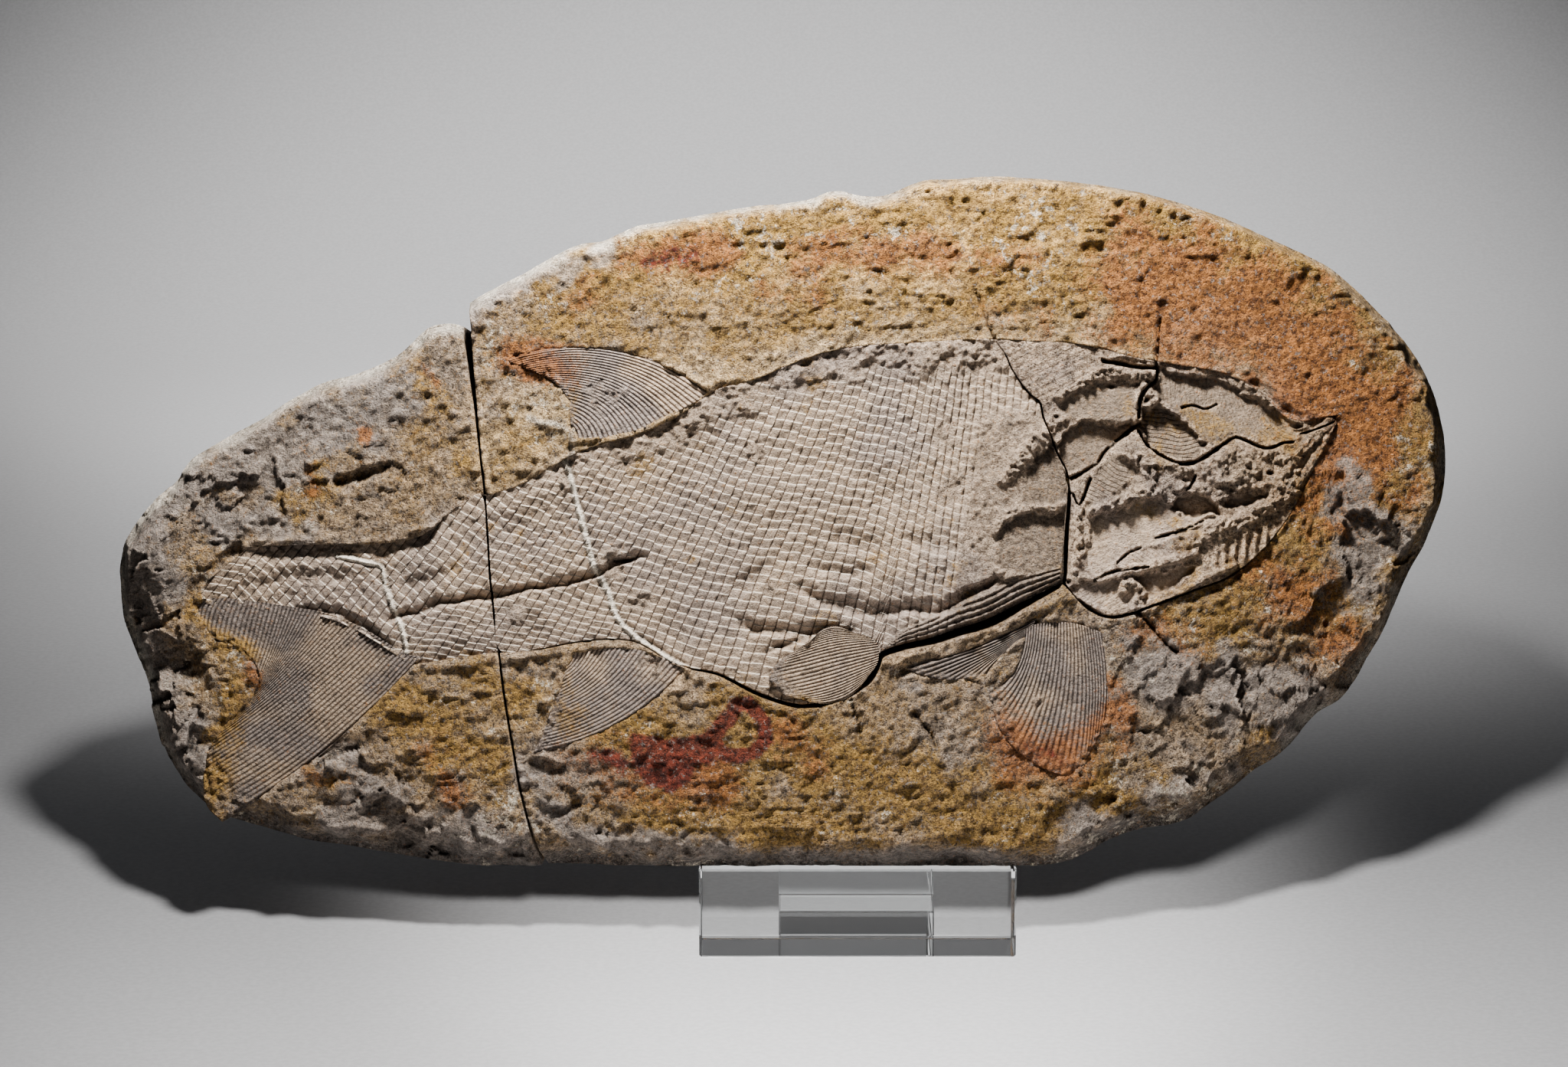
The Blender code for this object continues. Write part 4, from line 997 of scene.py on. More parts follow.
class Look:
    """A material under construction, with one method for any node."""

    def __init__(self, name):
        self.material = bpy.data.materials.new(name)
        self.material.use_nodes = True
        self.tree = self.material.node_tree
        self.shader = self.tree.nodes["Principled BSDF"]

    def node(self, kind, settings=None, **sockets):
        """A node with its settings and sockets, which are given by name or, after an n, by number."""
        made = self.tree.nodes.new(kind)
        for key, value in (settings or {}).items():
            setattr(made, key, value)
        for key, value in sockets.items():
            numbered = key[0] == "n" and key[1:].isdigit()
            self.feed(made.inputs[int(key[1:]) if numbered else key.replace("_", " ")], value)
        return made

    def feed(self, socket, value):
        """Links a socket to another one or to a Value, or sets it to a number, a tuple or a colour."""
        if isinstance(value, Value):
            value = value.socket
        if isinstance(value, bpy.types.NodeSocket):
            self.tree.links.new(value, socket)
        elif isinstance(value, np.ndarray):
            socket.default_value = (*value, 1.0)
        else:
            socket.default_value = value

    def maths(self, operation, first, second=0.0):
        made = self.node("ShaderNodeMath", {"operation": operation}, n0=first, n1=second)
        return Value(self, made.outputs[0])

    def noise(self, scale, detail, roughness):
        place = self.node("ShaderNodeTexCoord").outputs["Object"]
        sockets = {"Vector": place, "Scale": scale, "Detail": detail, "Roughness": roughness}
        return Value(self, self.node("ShaderNodeTexNoise", None, **sockets).outputs[0])

    def attribute(self, name, output):
        return Value(self, self.node("ShaderNodeAttribute", {"attribute_name": name}).outputs[output])

    def pattern(self):
        """The three numbers of the pattern attribute."""
        numbers = self.node("ShaderNodeSeparateXYZ", None, Vector=self.attribute("pattern", "Vector"))
        return [Value(self, output) for output in numbers.outputs]

    def hump(self, value, centre, half_width):
        """1 where the value equals the centre, 0 beyond the half width."""
        return 1 - self.ramp(self.maths("ABSOLUTE", value - centre), 0.0, half_width)

    def ramp(self, value, low, high):
        """0 at low, 1 at high, and a smooth S between them."""
        settings = {"interpolation_type": "SMOOTHSTEP"}
        made = self.node("ShaderNodeMapRange", settings, Value=value, From_Min=low, From_Max=high)
        return Value(self, made.outputs[0])

    def mix(self, first, second, factor, kind="MIX"):
        settings = {"data_type": "RGBA", "blend_type": kind}
        return self.node("ShaderNodeMix", settings, n0=factor, n6=first, n7=second).outputs[2]

    def shaded(self, colour, shade, factor):
        """The colour times a shade, by a factor."""
        return self.mix(colour, shade, factor, "MULTIPLY")

    def finished(self, colour, height):
        """The material with its colour and its relief, whose height is in millimetres."""
        bumped = self.node("ShaderNodeBump", None, Height=height, Distance=MM, Strength=1.0)
        self.feed(self.shader.inputs["Base Color"], colour)
        self.feed(self.shader.inputs["Normal"], bumped.outputs["Normal"])
        return self.material


def stone_look(name):
    """Dry stone: the stored tint, stained by ochre, rust and red with ragged edges, in sandy relief with
    painted shade in its low spots.

    Returns the look, its colour so far, and its height in millimetres.
    """
    look = Look(name)
    grain = look.attribute("tint", "Alpha")
    stains = look.node("ShaderNodeSeparateColor", None, Color=look.attribute("stains", "Color"))
    crumbs = look.noise(1150.0, 5.0, 0.68)
    sand = look.noise(3200.0, 3.0, 0.6)
    ragged = (crumbs - 0.5) * 1.5 + (sand - 0.5) * 0.6
    brown = look.ramp(look.noise(480.0, 6.0, 0.72), 0.44, 0.66) * 0.8
    colour = look.attribute("tint", "Color")
    for output, stained, cover in zip(stains.outputs, (OCHRE, RUST, DEEP_RED), (0.85, 0.85, 0.9)):
        amount = look.ramp(Value(look, output) + ragged, 0.08, 0.72)
        colour = look.mix(colour, look.mix(stained, stained * STAIN_SHADE, brown), amount * cover)
    flecks = look.ramp(look.noise(460.0, 6.0, 0.75) + look.attribute("stains", "Alpha") * 0.22, 0.67, 0.74)
    colour = look.mix(colour, PALE * FLECK_SHADE, flecks * grain * 0.8)
    mottle = look.noise(760.0, 7.0, 0.82)
    speckled = 0.15 + grain * 0.75
    colour = look.shaded(colour, LIGHT_SPECK, look.ramp(mottle, 0.51, 0.58) * speckled)
    colour = look.shaded(colour, DARK_SPECK, look.ramp(mottle, 0.49, 0.41) * speckled)
    crumbs_grey = look.ramp(look.noise(900.0, 5.0, 0.72), 0.57, 0.63)
    colour = look.mix(colour, STONE_GREY * 1.3, crumbs_grey * grain * 0.7)
    # Painted shade in the low spots of the sandy relief.
    low_spot_shade = look.ramp(sand * 0.5 + crumbs * 0.5, 0.51, 0.40) * (0.25 + grain * 0.65)
    colour = look.shaded(colour, PIT_PAINTED_SHADE, low_spot_shade)
    height = ((crumbs - 0.5) * 3.2 + (sand - 0.5) * 0.9) * (0.12 + grain * 0.88)
    look.feed(look.shader.inputs["Roughness"], 0.92)
    look.feed(look.shader.inputs["Specular IOR Level"], 0.25)
    return look, colour, height


def weathered_stone():
    """The bare stone."""
    look, colour, height = stone_look("weathered_stone")
    return look.finished(colour, height)


def scaled_stone():
    """Stone with scales: the pattern's x and y count columns and rows, and its z says how whole they are.

    A scale falls back to its lower edge under painted shade, then steps out in a thin pale lip, partly pale
    bone and partly painted highlight. Grooves part the columns, darkened with painted shade.
    """
    look, colour, height = stone_look("scaled_stone")
    column, row, whole = look.pattern()
    in_row = look.maths("FRACT", row)
    in_column = look.maths("FRACT", column)
    lip = look.hump(in_row, 0.93, 0.10) * whole
    groove = look.ramp(look.maths("ABSOLUTE", in_column - 0.5), 0.43, 0.485) * whole
    # Painted shade on each scale's falling part and in the grooves; the pale lip is partly pale bone and
    # partly painted highlight.
    colour = look.shaded(colour, SCALE_SHADE, look.ramp(in_row, 0.35, 0.82) * whole * 0.35)
    colour = look.shaded(colour, GROOVE_SHADE, groove * 0.76)
    colour = look.mix(colour, PALE * 1.1, lip * (1 - groove) * 0.48)
    step = (look.ramp(in_row, 0.86, 0.97) - in_row) * whole
    return look.finished(colour, height + step * 0.6 - groove * 0.42)


def rayed_stone():
    """Stone with fin rays or, on the head, ripples.

    The pattern's x counts rays, its y counts their joints, and its z says how whole they are.
    """
    look, colour, height = stone_look("rayed_stone")
    ray, joint, whole = look.pattern()
    across = look.maths("ABSOLUTE", look.maths("FRACT", ray) - 0.5)
    furrow = look.ramp(across, 0.24, 0.46) * whole
    ring = look.hump(look.maths("FRACT", joint), 0.5, 0.14) * whole
    # Painted shade in the furrows between rays or ripples; the joints are darker in their own right.
    colour = look.shaded(colour, FURROW_SHADE, furrow * 0.7)
    colour = look.shaded(colour, JOINT_SHADE, ring * 0.4)
    return look.finished(colour, height - furrow * 0.34 - ring * 0.12)


def clear_acrylic():
    """Polished clear acrylic with faint hair scratches in its roughness."""
    look = Look("clear_acrylic")
    scratches = look.ramp(look.noise(260.0, 5.0, 0.7), 0.62, 0.8)
    look.feed(look.shader.inputs["Base Color"], (0.97, 0.985, 0.985, 1.0))
    look.feed(look.shader.inputs["Roughness"], scratches * 0.12 + 0.015)
    look.feed(look.shader.inputs["Transmission Weight"], 1.0)
    look.feed(look.shader.inputs["IOR"], 1.49)
    return look.material


def paper():
    """Pale grey paper with a faint fleck."""
    look = Look("paper")
    fleck = look.noise(700.0, 3.0, 0.6)
    shade = look.mix((0.47, 0.47, 0.48, 1.0), (0.53, 0.53, 0.54, 1.0), look.ramp(fleck, 0.3, 0.7))
    look.feed(look.shader.inputs["Base Color"], shade)
    look.feed(look.shader.inputs["Roughness"], 0.95)
    return look.material


STONE = weathered_stone()
SCALED = scaled_stone()
RAYED = rayed_stone()
ACRYLIC = clear_acrylic()
PAPER = paper()


# Fins: near and far ends of the rays from the front ray to the last, how light the fin is, how many rays, how
# far the first and the last ray bow out in pixels, how deep the fin lies, the spacing of its joints in pixels
# and the height of its rays
FINS = {
    "dorsal_fin": {
        "near": [(930, 512), (895, 532), (850, 555), (800, 570), (752, 575)],
        "far": [(656, 470), (690, 482), (722, 498), (741, 520), (746, 556)],
        "tone": 1.35, "rays": 29, "bow": (36, 2), "depth": 0.3, "joints": 9.0, "ridge": 0.22},
    "tail_fin": {
        "near": [(552, 858), (526, 852), (486, 828), (434, 803), (372, 791), (304, 782), (266, 781)],
        "far": [(290, 1073), (269, 1050), (266, 1010), (274, 972), (300, 940), (325, 915), (338, 888),
                (326, 860), (300, 842), (275, 830), (258, 808)],
        "tone": 0.8, "rays": 54, "bow": (-14, 6), "depth": 1.0, "joints": 9.5, "ridge": 0.20},
    "anal_fin": {
        "near": [(899, 874), (870, 860), (830, 848), (790, 845), (745, 851)],
        "far": [(696, 984), (708, 960), (718, 932), (730, 902), (740, 868)],
        "tone": 1.15, "rays": 24, "bow": (-20, -2), "depth": 0.5, "joints": 9.0, "ridge": 0.20},
    "pectoral_fin": {
        "near": [(1338, 822), (1358, 814), (1385, 812), (1412, 816), (1440, 826)],
        "far": [(1290, 905), (1312, 962), (1360, 1002), (1405, 1008), (1444, 945)],
        "tone": 1.0, "rays": 27, "bow": (-14, -6), "depth": 0.5, "joints": 12.0, "ridge": 0.24},
    "folded_fin": {
        "near": [(1354, 808), (1349, 817), (1340, 828), (1326, 842)],
        "far": [(1180, 870), (1202, 881), (1240, 888), (1290, 884)],
        "tone": 0.9, "rays": 11, "bow": (-6, 4), "depth": 0.6, "joints": 60.0, "ridge": 0.42},
}
PELVIC_FIN = {
    "near": [(1114, 826), (1134, 832), (1147, 843), (1146, 866), (1132, 886)],
    "far": [(1058, 842), (1022, 860), (1004, 884), (1022, 906), (1058, 917)],
    "tone": 1.05, "rays": 27, "bow": (16, -14), "depth": 0.75, "joints": 14.0, "ridge": 0.24}


def fin_outline(fin):
    """The fin's closed outline: its first ray, its far ends, its last ray and its near ends."""
    near, far = smooth_line(fin["near"], count=14), smooth_line(fin["far"], count=20)
    t = np.linspace(0, 1, 10)
    first = ray_points(near[:1], far[:1], t, np.full(10, fin["bow"][0]))
    last = ray_points(near[-1:], far[-1:], t, np.full(10, fin["bow"][1]))
    return np.vstack((first, far[1:-1], last[::-1], near[::-1][1:-1]))


def ray_points(near, far, t, bow):
    """Points along rays: a straight blend from near to far, pushed sideways by a parabola, most half way."""
    run = far - near
    length = np.maximum(np.hypot(run[:, 0], run[:, 1]), 1e-6)
    side = np.column_stack((-run[:, 1], run[:, 0])) / length[:, None]
    t = np.reshape(t, (-1, 1))
    return near * (1 - t) + far * t + side * (4 * t * (1 - t)) * np.reshape(bow, (-1, 1))


def fin_piece(name, fin):
    """A fin: rays as rounded ridges from near to far ends, crossed by fine joints, its border dipping in."""
    columns = fin["rays"] * RAY_SAMPLES + 1
    near, far = smooth_line(fin["near"], count=columns), smooth_line(fin["far"], count=columns)
    length = np.hypot(*(far - near).T)
    s = np.linspace(0, 1, columns)
    t = np.linspace(0, 1, int(length.max() / RAY_STEP))[:, None]
    bow = fin["bow"][0] * (1 - s) + fin["bow"][1] * s
    sheet = np.array([ray_points(near, far, np.full(columns, share), bow) for share in t[:, 0]])
    x, y = sheet[..., 0], sheet[..., 1]
    ray = s * fin["rays"] + 0.18 * noise(x, y, 50, 301)
    ridge = 0.5 + 0.5 * np.cos(2 * np.pi * ray)
    walked = t * length
    joint = walked / fin["joints"] + hashed(np.floor(ray + 0.5), np.zeros(x.shape), 303)
    side = np.minimum(s, 1 - s) * fin["rays"] * 5.5
    dip = np.maximum(0.45 * (1 - ramp(side, 0, 5.0)), 0.2 * (1 - ramp((1 - t) * length, 0, 5.0)))
    dip = dip * ramp(walked, 3, 12)
    worn_end = 1 - ramp(1 - t + 0.10 * cloud(x, y, 34, 306, 3), 0.0, 0.24)
    worn = np.clip(ramp(cloud(x, y, 40, 305, 3), 0.8, 1.3) + 0.9 * worn_end, 0, 1)
    sunk = fin["depth"] * (1 - 0.8 * ramp(t, 0.6, 0.95))
    height = face_level(x, y) - sunk + fin["ridge"] * (ridge - 0.5) * (1 - worn)
    height = height + 0.22 * cloud(x, y, 26, 307, 3) + 0.5 * worn * cloud(x, y, 8, 308, 2) - dip
    tint = blend(FIN_GREY, BEIGE, ramp(cloud(x, y, 60, 309, 3), -0.3, 0.8))
    tint = tint * fin["tone"] * (0.76 + 0.2 * ridge)[..., None]
    stains = stain_amounts(x, y)
    stains[..., :3] *= (0.15 + 0.7 * ramp(t, 0.55, 0.95))[..., None]
    stains[..., 3] *= 0.5
    pattern = np.stack((ray + 0.5, joint, 1 - 0.85 * worn), -1)
    return inlay(name, x, y, height, HIDDEN_DEPTH, RAYED, tint, 0.3 + 0.6 * worn, stains, pattern)


FIN_OUTLINES = {name: fin_outline(fin) for name, fin in FINS.items()}
PELVIC_OUTLINE = fin_outline(PELVIC_FIN)


def fin_recess(x, y):
    """The stone gives way under each fin, starting a little inside its outline."""
    height = np.zeros(x.shape)
    for outline in FIN_OUTLINES.values():
        height = np.minimum(height, -3.0 * ramp(depth_inside(x, y, outline), 1.0, 7.0))
    return height


def band_hollow(level):
    """The stone is hollowed out under the fish, between its back and belly lines."""
    return -(HIDDEN_DEPTH - 1.5) * ramp(level, 1.002, 1.012) * (1 - ramp(level, 1.988, 1.998))


def main_hollow(x, y, level):
    """How far the main stone's sheet gives way under the fish and its fins, and its lips beside them."""
    return band_hollow(level) * (1 - ramp(x, 1738, 1746)) + fin_recess(x, y) + lip_relief(x, y)


def tail_hollow(x, y, level):
    """The same for the tail's stone."""
    return band_hollow(level) * ramp(x, 262, 272) + fin_recess(x, y) + lip_relief(x, y)


# Raised pale lips of stone beside the fish, and furrows under them: line, half width, height
LIPS = [
    ([(1160, 862), (1200, 852), (1250, 838), (1300, 820), (1345, 798), (1385, 782)], 11, 0.9),
    ([(905, 882), (940, 892), (985, 912), (1030, 928), (1062, 930)], 8, 0.5),
    ([(1180, 876), (1230, 866), (1290, 846), (1330, 826), (1352, 812)], 7, -1.3),
    ([(870, 480), (900, 497), (930, 500), (965, 494)], 8, 0.6),
    ([(560, 872), (640, 862), (720, 852), (790, 843)], 8, 0.5),
    ([(745, 575), (790, 566), (840, 552), (890, 528), (925, 508)], 7, 0.7),
    ([(330, 708), (400, 704), (500, 702), (560, 686)], 9, 0.7),
    ([(250, 770), (280, 740), (310, 716)], 9, -1.2),
    ([(1560, 780), (1610, 758), (1655, 722), (1690, 680)], 10, -0.9),
    ([(700, 1000), (735, 1010)], 12, -1.2),
    ([(1640, 500), (1672, 530), (1700, 545)], 9, -1.2),
]


def lip_relief(x, y):
    """Humps and furrows beside the fish, each a smooth ridge along its line."""
    height = np.zeros(x.shape)
    for line, half_width, rise in LIPS:
        away = distance_to(x, y, smooth_line(line, step=8), reach=1.5 * half_width)
        height += rise * bump(away + 2 * cloud(x, y, 16, 251, 2), 1.3 * half_width)
    return height


# How far each scale's points lie from the groove before it, as shares of its pitch
SCALE_POINTS = np.array((-0.075, 0.0, 0.075, 0.24, 0.43, 0.62, 0.8))


def scale_grid(top_chain, bottom_chain):
    """Points in columns that follow the slanting lines of scales between two lines.

    Returns their pixels and where each one's slanting line crosses the fish's middle.
    """
    top, bottom = smooth_line(top_chain, step=4), smooth_line(bottom_chain, step=4)
    top_base, bottom_base = lattice_base(*top.T), lattice_base(*bottom.T)
    first = column_number(min(top_base[0], bottom_base[0]))
    last = column_number(max(top_base[-1], bottom_base[-1]))
    numbers = (np.arange(math.floor(first), math.ceil(last) + 1)[:, None] + SCALE_POINTS).ravel()
    numbers = np.concatenate(([first], numbers[(numbers > first + 0.02) & (numbers < last - 0.02)], [last]))
    base = np.interp(numbers, COLUMN_NUMBERS, COLUMN_X)
    y_top = np.interp(base, np.maximum.accumulate(top_base), top[:, 1])
    y_bottom = np.interp(base, np.maximum.accumulate(bottom_base), bottom[:, 1])
    t = np.linspace(0, 1, int(np.max(y_bottom - y_top) / ROW_STEP))[:, None]
    y = y_top * (1 - t) + np.maximum(y_bottom, y_top + 0.2) * t
    base_x = np.broadcast_to(base, y.shape)
    return lattice_point(base_x, y), y, base_x


def scaled_piece(name, top_chain, bottom_chain):
    """A stretch of flank between two lines, with the cheek's bones, the shoulder and the mended seams."""
    x, y, base_x = scale_grid(top_chain, bottom_chain)
    height, mark, pattern, lost = body_relief(x, y, base_x)
    seam_height, seam_pale = seam_relief(x, y)
    height = height + seam_height - 2.2 * ramp(depth_inside(x, y, PELVIC_OUTLINE), 1.0, 7.0)
    shoulder = shoulder_cover(x, y)
    edge_x = np.interp(y, (540, 580, 640, 690, 760), (1356, 1322, 1296, 1292, 1300))
    edge_x = edge_x + 5 * cloud(x, y, 22, 407, 3)
    cheek = ramp(x, edge_x - 5, edge_x + 5) * ramp(y, 545, 565) * (1 - shoulder)
    plates = np.zeros(x.shape)
    if cheek.max() > 0:
        cheek_height, plates, _ = head_relief(x, y)
        height = height * (1 - cheek) + cheek_height * cheek
        pattern[..., 2] *= 1 - cheek
        lost = np.maximum(lost, cheek)
    tint = blend(FISH_GREY, BEIGE, 0.85 * ramp(cloud(x, y, 80, 401, 3), -0.7, 0.6))
    tint = tint * (0.90 + 0.20 * mark)[..., None] * (1 + 0.07 * cloud(x, y, 14, 403, 3))[..., None]
    tint = blend(tint, PLATE, 0.7 * plates * cheek)
    tint = blend(tint, STONE_GREY * SHOULDER_SHADE, 0.7 * shoulder)
    tint = blend(tint, PALE, seam_pale)
    stains = stain_amounts(x, y)
    stains[..., :3] *= 0.35
    stains[..., 0] += 0.30 * ramp(cloud(x, y, 40, 405, 3), 0.7, 1.2)
    stains[..., 3] *= 0.3
    pattern[..., 2] *= 1 - seam_pale
    grain = np.clip(0.22 + 0.5 * lost - 0.1 * shoulder, 0.1, 1)
    return inlay(name, x, y, height, FISH_DEPTH, SCALED, tint, grain, stains, pattern)


# Mended cracks: line and half width
SEAMS = [
    ([(738, 603), (745, 625), (752, 652), (759, 680), (768, 712), (776, 742), (786, 758), (795, 775),
     (800, 795), (812, 815), (830, 832), (850, 846), (872, 860), (890, 870)], 5.0),
    ([(440, 727), (460, 730), (480, 735), (497, 740), (502, 760), (508, 780), (515, 800), (522, 815),
     (528, 835), (530, 855)], 4.2),
]


def seam_relief(x, y):
    """Mended cracks: a shallow trough with a raised, pale, stringy filling. Returns its height and cover."""
    height, pale = np.zeros(x.shape), np.zeros(x.shape)
    for line, half_width in SEAMS:
        curve = smooth_line(line, step=6)
        away = distance_to(x, y, curve, reach=20.0) + 0.8 * noise(x, y, 9, 411)
        height -= 0.9 * bump(away, 1.9 * half_width)
        strings = 0.5 + 0.5 * np.cos(away * 2.6)
        height += (1.0 + 0.25 * strings) * bump(away, 1.1 * half_width)
        pale = np.maximum(pale, np.minimum(1.6 * bump(away, 1.1 * half_width), 1) * (0.75 + 0.25 * strings))
    return height, pale


# Bones of the head: outline in pixels, height from the fish's level in millimetres, edge softness in pixels,
# rise in millimetres per 100 pixels to the right and down, centre of its ripples, and how strong they are
BONES = [
    ([(1515, 480), (1545, 486), (1580, 492), (1605, 500), (1625, 513), (1645, 522), (1658, 538),
     (1672, 552), (1698, 562), (1690, 577), (1665, 580), (1640, 572), (1610, 565), (1590, 572), (1575, 575),
     (1560, 560), (1545, 546), (1528, 530), (1512, 522), (1506, 505)], -2.0, 7, (-0.4, 2.0), (1716, 500),
     0.35),
    ([(1497, 520), (1512, 526), (1530, 540), (1550, 555), (1565, 570), (1576, 580), (1570, 592),
     (1558, 604), (1540, 603), (1520, 592), (1500, 580), (1490, 565), (1488, 545)], -2.9, 6, (0.5, 2.2),
     (1540, 380), 0.8),
    ([(1400, 512), (1420, 503), (1450, 500), (1482, 505), (1480, 520), (1488, 545), (1470, 553),
     (1440, 550), (1415, 548), (1392, 545), (1385, 530), (1392, 518)], -1.1, 6, (0.2, 1.2), (1440, 400),
     0.15),
    ([(1378, 582), (1400, 556), (1420, 549), (1440, 551), (1486, 555), (1470, 570), (1450, 585),
     (1435, 601), (1420, 612), (1397, 619), (1387, 600)], -3.4, 5, (-1.2, 0.2), (1500, 500), 0.1),
    ([(1340, 612), (1355, 594), (1378, 577), (1392, 615), (1400, 640), (1398, 655), (1390, 664),
     (1372, 668), (1350, 670), (1337, 662)], -1.9, 6, (-1.2, 1.6), (1420, 590), 0.6),
    ([(1306, 700), (1314, 684), (1330, 673), (1350, 669), (1375, 672), (1388, 670), (1393, 685),
     (1392, 745), (1370, 750), (1335, 748), (1312, 742), (1302, 722)], -2.3, 6, (-0.6, 1.8), (1350, 560),
     0.9),
    ([(1418, 636), (1436, 612), (1455, 596), (1478, 588), (1488, 600), (1478, 622), (1470, 638),
     (1452, 648), (1430, 658), (1414, 655)], -1.0, 5, (0.4, 1.4), (1500, 540), 0.6),
    ([(1432, 674), (1460, 668), (1490, 658), (1512, 655), (1532, 662), (1552, 671), (1592, 674),
     (1580, 690), (1560, 702), (1535, 706), (1490, 716), (1468, 727), (1448, 742), (1426, 754), (1419, 735),
     (1422, 700)], -2.2, 6, (0.4, 1.5), (1500, 500), 0.1),
    ([(1528, 664), (1540, 650), (1562, 646), (1582, 652), (1594, 672), (1560, 674)], -4.2, 5, (0.0, 1.0),
     (1560, 600), 0.05),
    ([(1452, 735), (1470, 722), (1495, 714), (1525, 716), (1558, 728), (1540, 738), (1500, 742),
     (1465, 746)], -1.5, 4, (0.0, 1.0), (1440, 800), 0.3),
    ([(1476, 752), (1505, 748), (1545, 742), (1562, 740), (1545, 760), (1520, 774), (1498, 782),
     (1490, 768)], -3.8, 6, (0.0, 2.0), (1500, 700), 0.05),
    ([(1402, 768), (1428, 756), (1455, 757), (1480, 762), (1497, 776), (1490, 790), (1475, 799),
     (1450, 797), (1426, 789), (1410, 780)], -1.8, 6, (0.0, 1.5), (1400, 700), 0.3),
    ([(1655, 520), (1680, 545), (1700, 556), (1690, 566), (1668, 560), (1650, 540)], -2.4, 6, (0.0, 1.0),
     (1690, 530), 0.3),
    ([(1598, 655), (1640, 645), (1680, 641), (1668, 652), (1630, 660), (1600, 668)], -2.3, 5, (0.0, 1.0),
     (1640, 560), 0.2),
]
# Rubbly ridges of the head: line, half width, height above the fish's level, and how rubbly
RIDGES = [
    ([(1385, 514), (1405, 505), (1425, 491), (1450, 485), (1480, 487), (1505, 491)], 11, 0.9, 1.0),
    ([(1352, 565), (1368, 552), (1385, 549)], 12, 0.5, 0.7),
    ([(1310, 622), (1328, 602), (1350, 580), (1370, 560)], 13, 0.7, 0.9),
    ([(1330, 668), (1355, 661), (1378, 664), (1393, 655)], 7, 0.5, 0.5),
    ([(1300, 694), (1310, 676), (1326, 666)], 8, 0.4, 0.7),
    ([(1300, 745), (1330, 755), (1365, 757)], 8, 0.3, 0.6),
    ([(1425, 666), (1445, 660), (1470, 650), (1490, 641), (1512, 644)], 9, 1.1, 1.0),
    ([(1468, 592), (1488, 602), (1502, 622), (1494, 640)], 12, 0.8, 1.0),
    ([(1500, 610), (1530, 606), (1548, 614)], 10, 0.8, 1.0),
    ([(1487, 548), (1484, 530), (1488, 514), (1500, 500)], 9, 0.9, 0.8),
    ([(1500, 512), (1508, 520), (1500, 530)], 8, 0.6, 0.6),
    ([(1590, 650), (1612, 640), (1650, 633), (1688, 632)], 8, 0.9, 0.8),
    ([(1520, 632), (1545, 636), (1575, 640)], 9, 0.4, 0.5),
    ([(1411, 662), (1408, 690), (1410, 720), (1404, 742)], 8, 0.5, 0.8),
    ([(1412, 752), (1440, 756), (1480, 745), (1540, 729), (1562, 722)], 6, 0.6, 0.5),
    ([(1585, 690), (1610, 684), (1636, 672), (1662, 656), (1690, 636)], 13, 0.9, 1.0),
    ([(1660, 640), (1682, 610), (1704, 585), (1736, 553)], 10, 1.0, 0.5),
    ([(1700, 628), (1714, 604), (1728, 580), (1738, 560)], 6, 0.6, 0.3),
    ([(1655, 590), (1680, 600), (1690, 615)], 13, 0.5, 0.9),
    ([(1468, 768), (1480, 762), (1490, 772), (1482, 790)], 9, 0.5, 1.0),
    ([(1490, 799), (1530, 781), (1575, 754), (1612, 738)], 6, 0.9, 0.2),
    ([(1627, 500), (1645, 510), (1660, 524)], 9, 0.7, 1.0),
    ([(1512, 466), (1480, 464), (1450, 466)], 7, 0.4, 0.8),
    ([(1535, 692), (1560, 687), (1585, 680)], 4, -0.5, 0.3),
    ([(1560, 706), (1590, 694), (1620, 682)], 12, 0.3, 1.0),
]
# The eye's lump: centre, half width and half height, and rise
EYE_LUMP = ((1608, 610), (50, 38), 0.9)
# Cracks of the head: line and half width
HEAD_CRACKS = [
    ([(1396, 626), (1405, 622), (1425, 612), (1437, 603), (1445, 590), (1465, 572), (1480, 560),
     (1490, 552)], 3.4),
    ([(1488, 562), (1497, 578), (1510, 590), (1530, 601), (1545, 606)], 2.4),
    ([(1542, 606), (1560, 604), (1575, 596), (1590, 586)], 3.6),
    ([(1590, 586), (1605, 576), (1615, 571), (1630, 576), (1645, 583), (1660, 585), (1675, 579),
     (1690, 577)], 2.6),
    ([(1700, 566), (1715, 562), (1742, 551)], 1.9),
    ([(1510, 470), (1512, 482), (1510, 496), (1500, 505), (1490, 520), (1488, 545)], 2.8),
    ([(1442, 471), (1465, 475), (1490, 480), (1510, 480)], 3.6),
    ([(1392, 778), (1405, 783), (1420, 792), (1440, 806)], 3.0),
    ([(1545, 532), (1560, 529), (1575, 534), (1590, 528)], 1.7),
    ([(1402, 645), (1410, 660), (1418, 645), (1425, 625)], 2.0),
    ([(1460, 735), (1475, 722), (1492, 715)], 1.8),
    ([(1430, 758), (1450, 748), (1470, 744), (1500, 740)], 2.0),
    ([(1510, 702), (1530, 697), (1555, 688), (1572, 680)], 1.6),
    ([(1562, 622), (1556, 634), (1550, 640)], 1.8),
]
HEAD_CRACK_DEPTH = 3.6
# Pits of the head: centre, radius and depth
HEAD_PITS = [
    ((1380, 545), 7, 1.8),
    ((1706, 546), 6, 1.6),
    ((1552, 606), 7, 2.0),
    ((1452, 504), 8, 1.0),
    ((1608, 640), 6, 1.2),
    ((1500, 498), 6, 1.6),
    ((1395, 760), 7, 1.5),
    ((1660, 618), 6, 1.6),
]


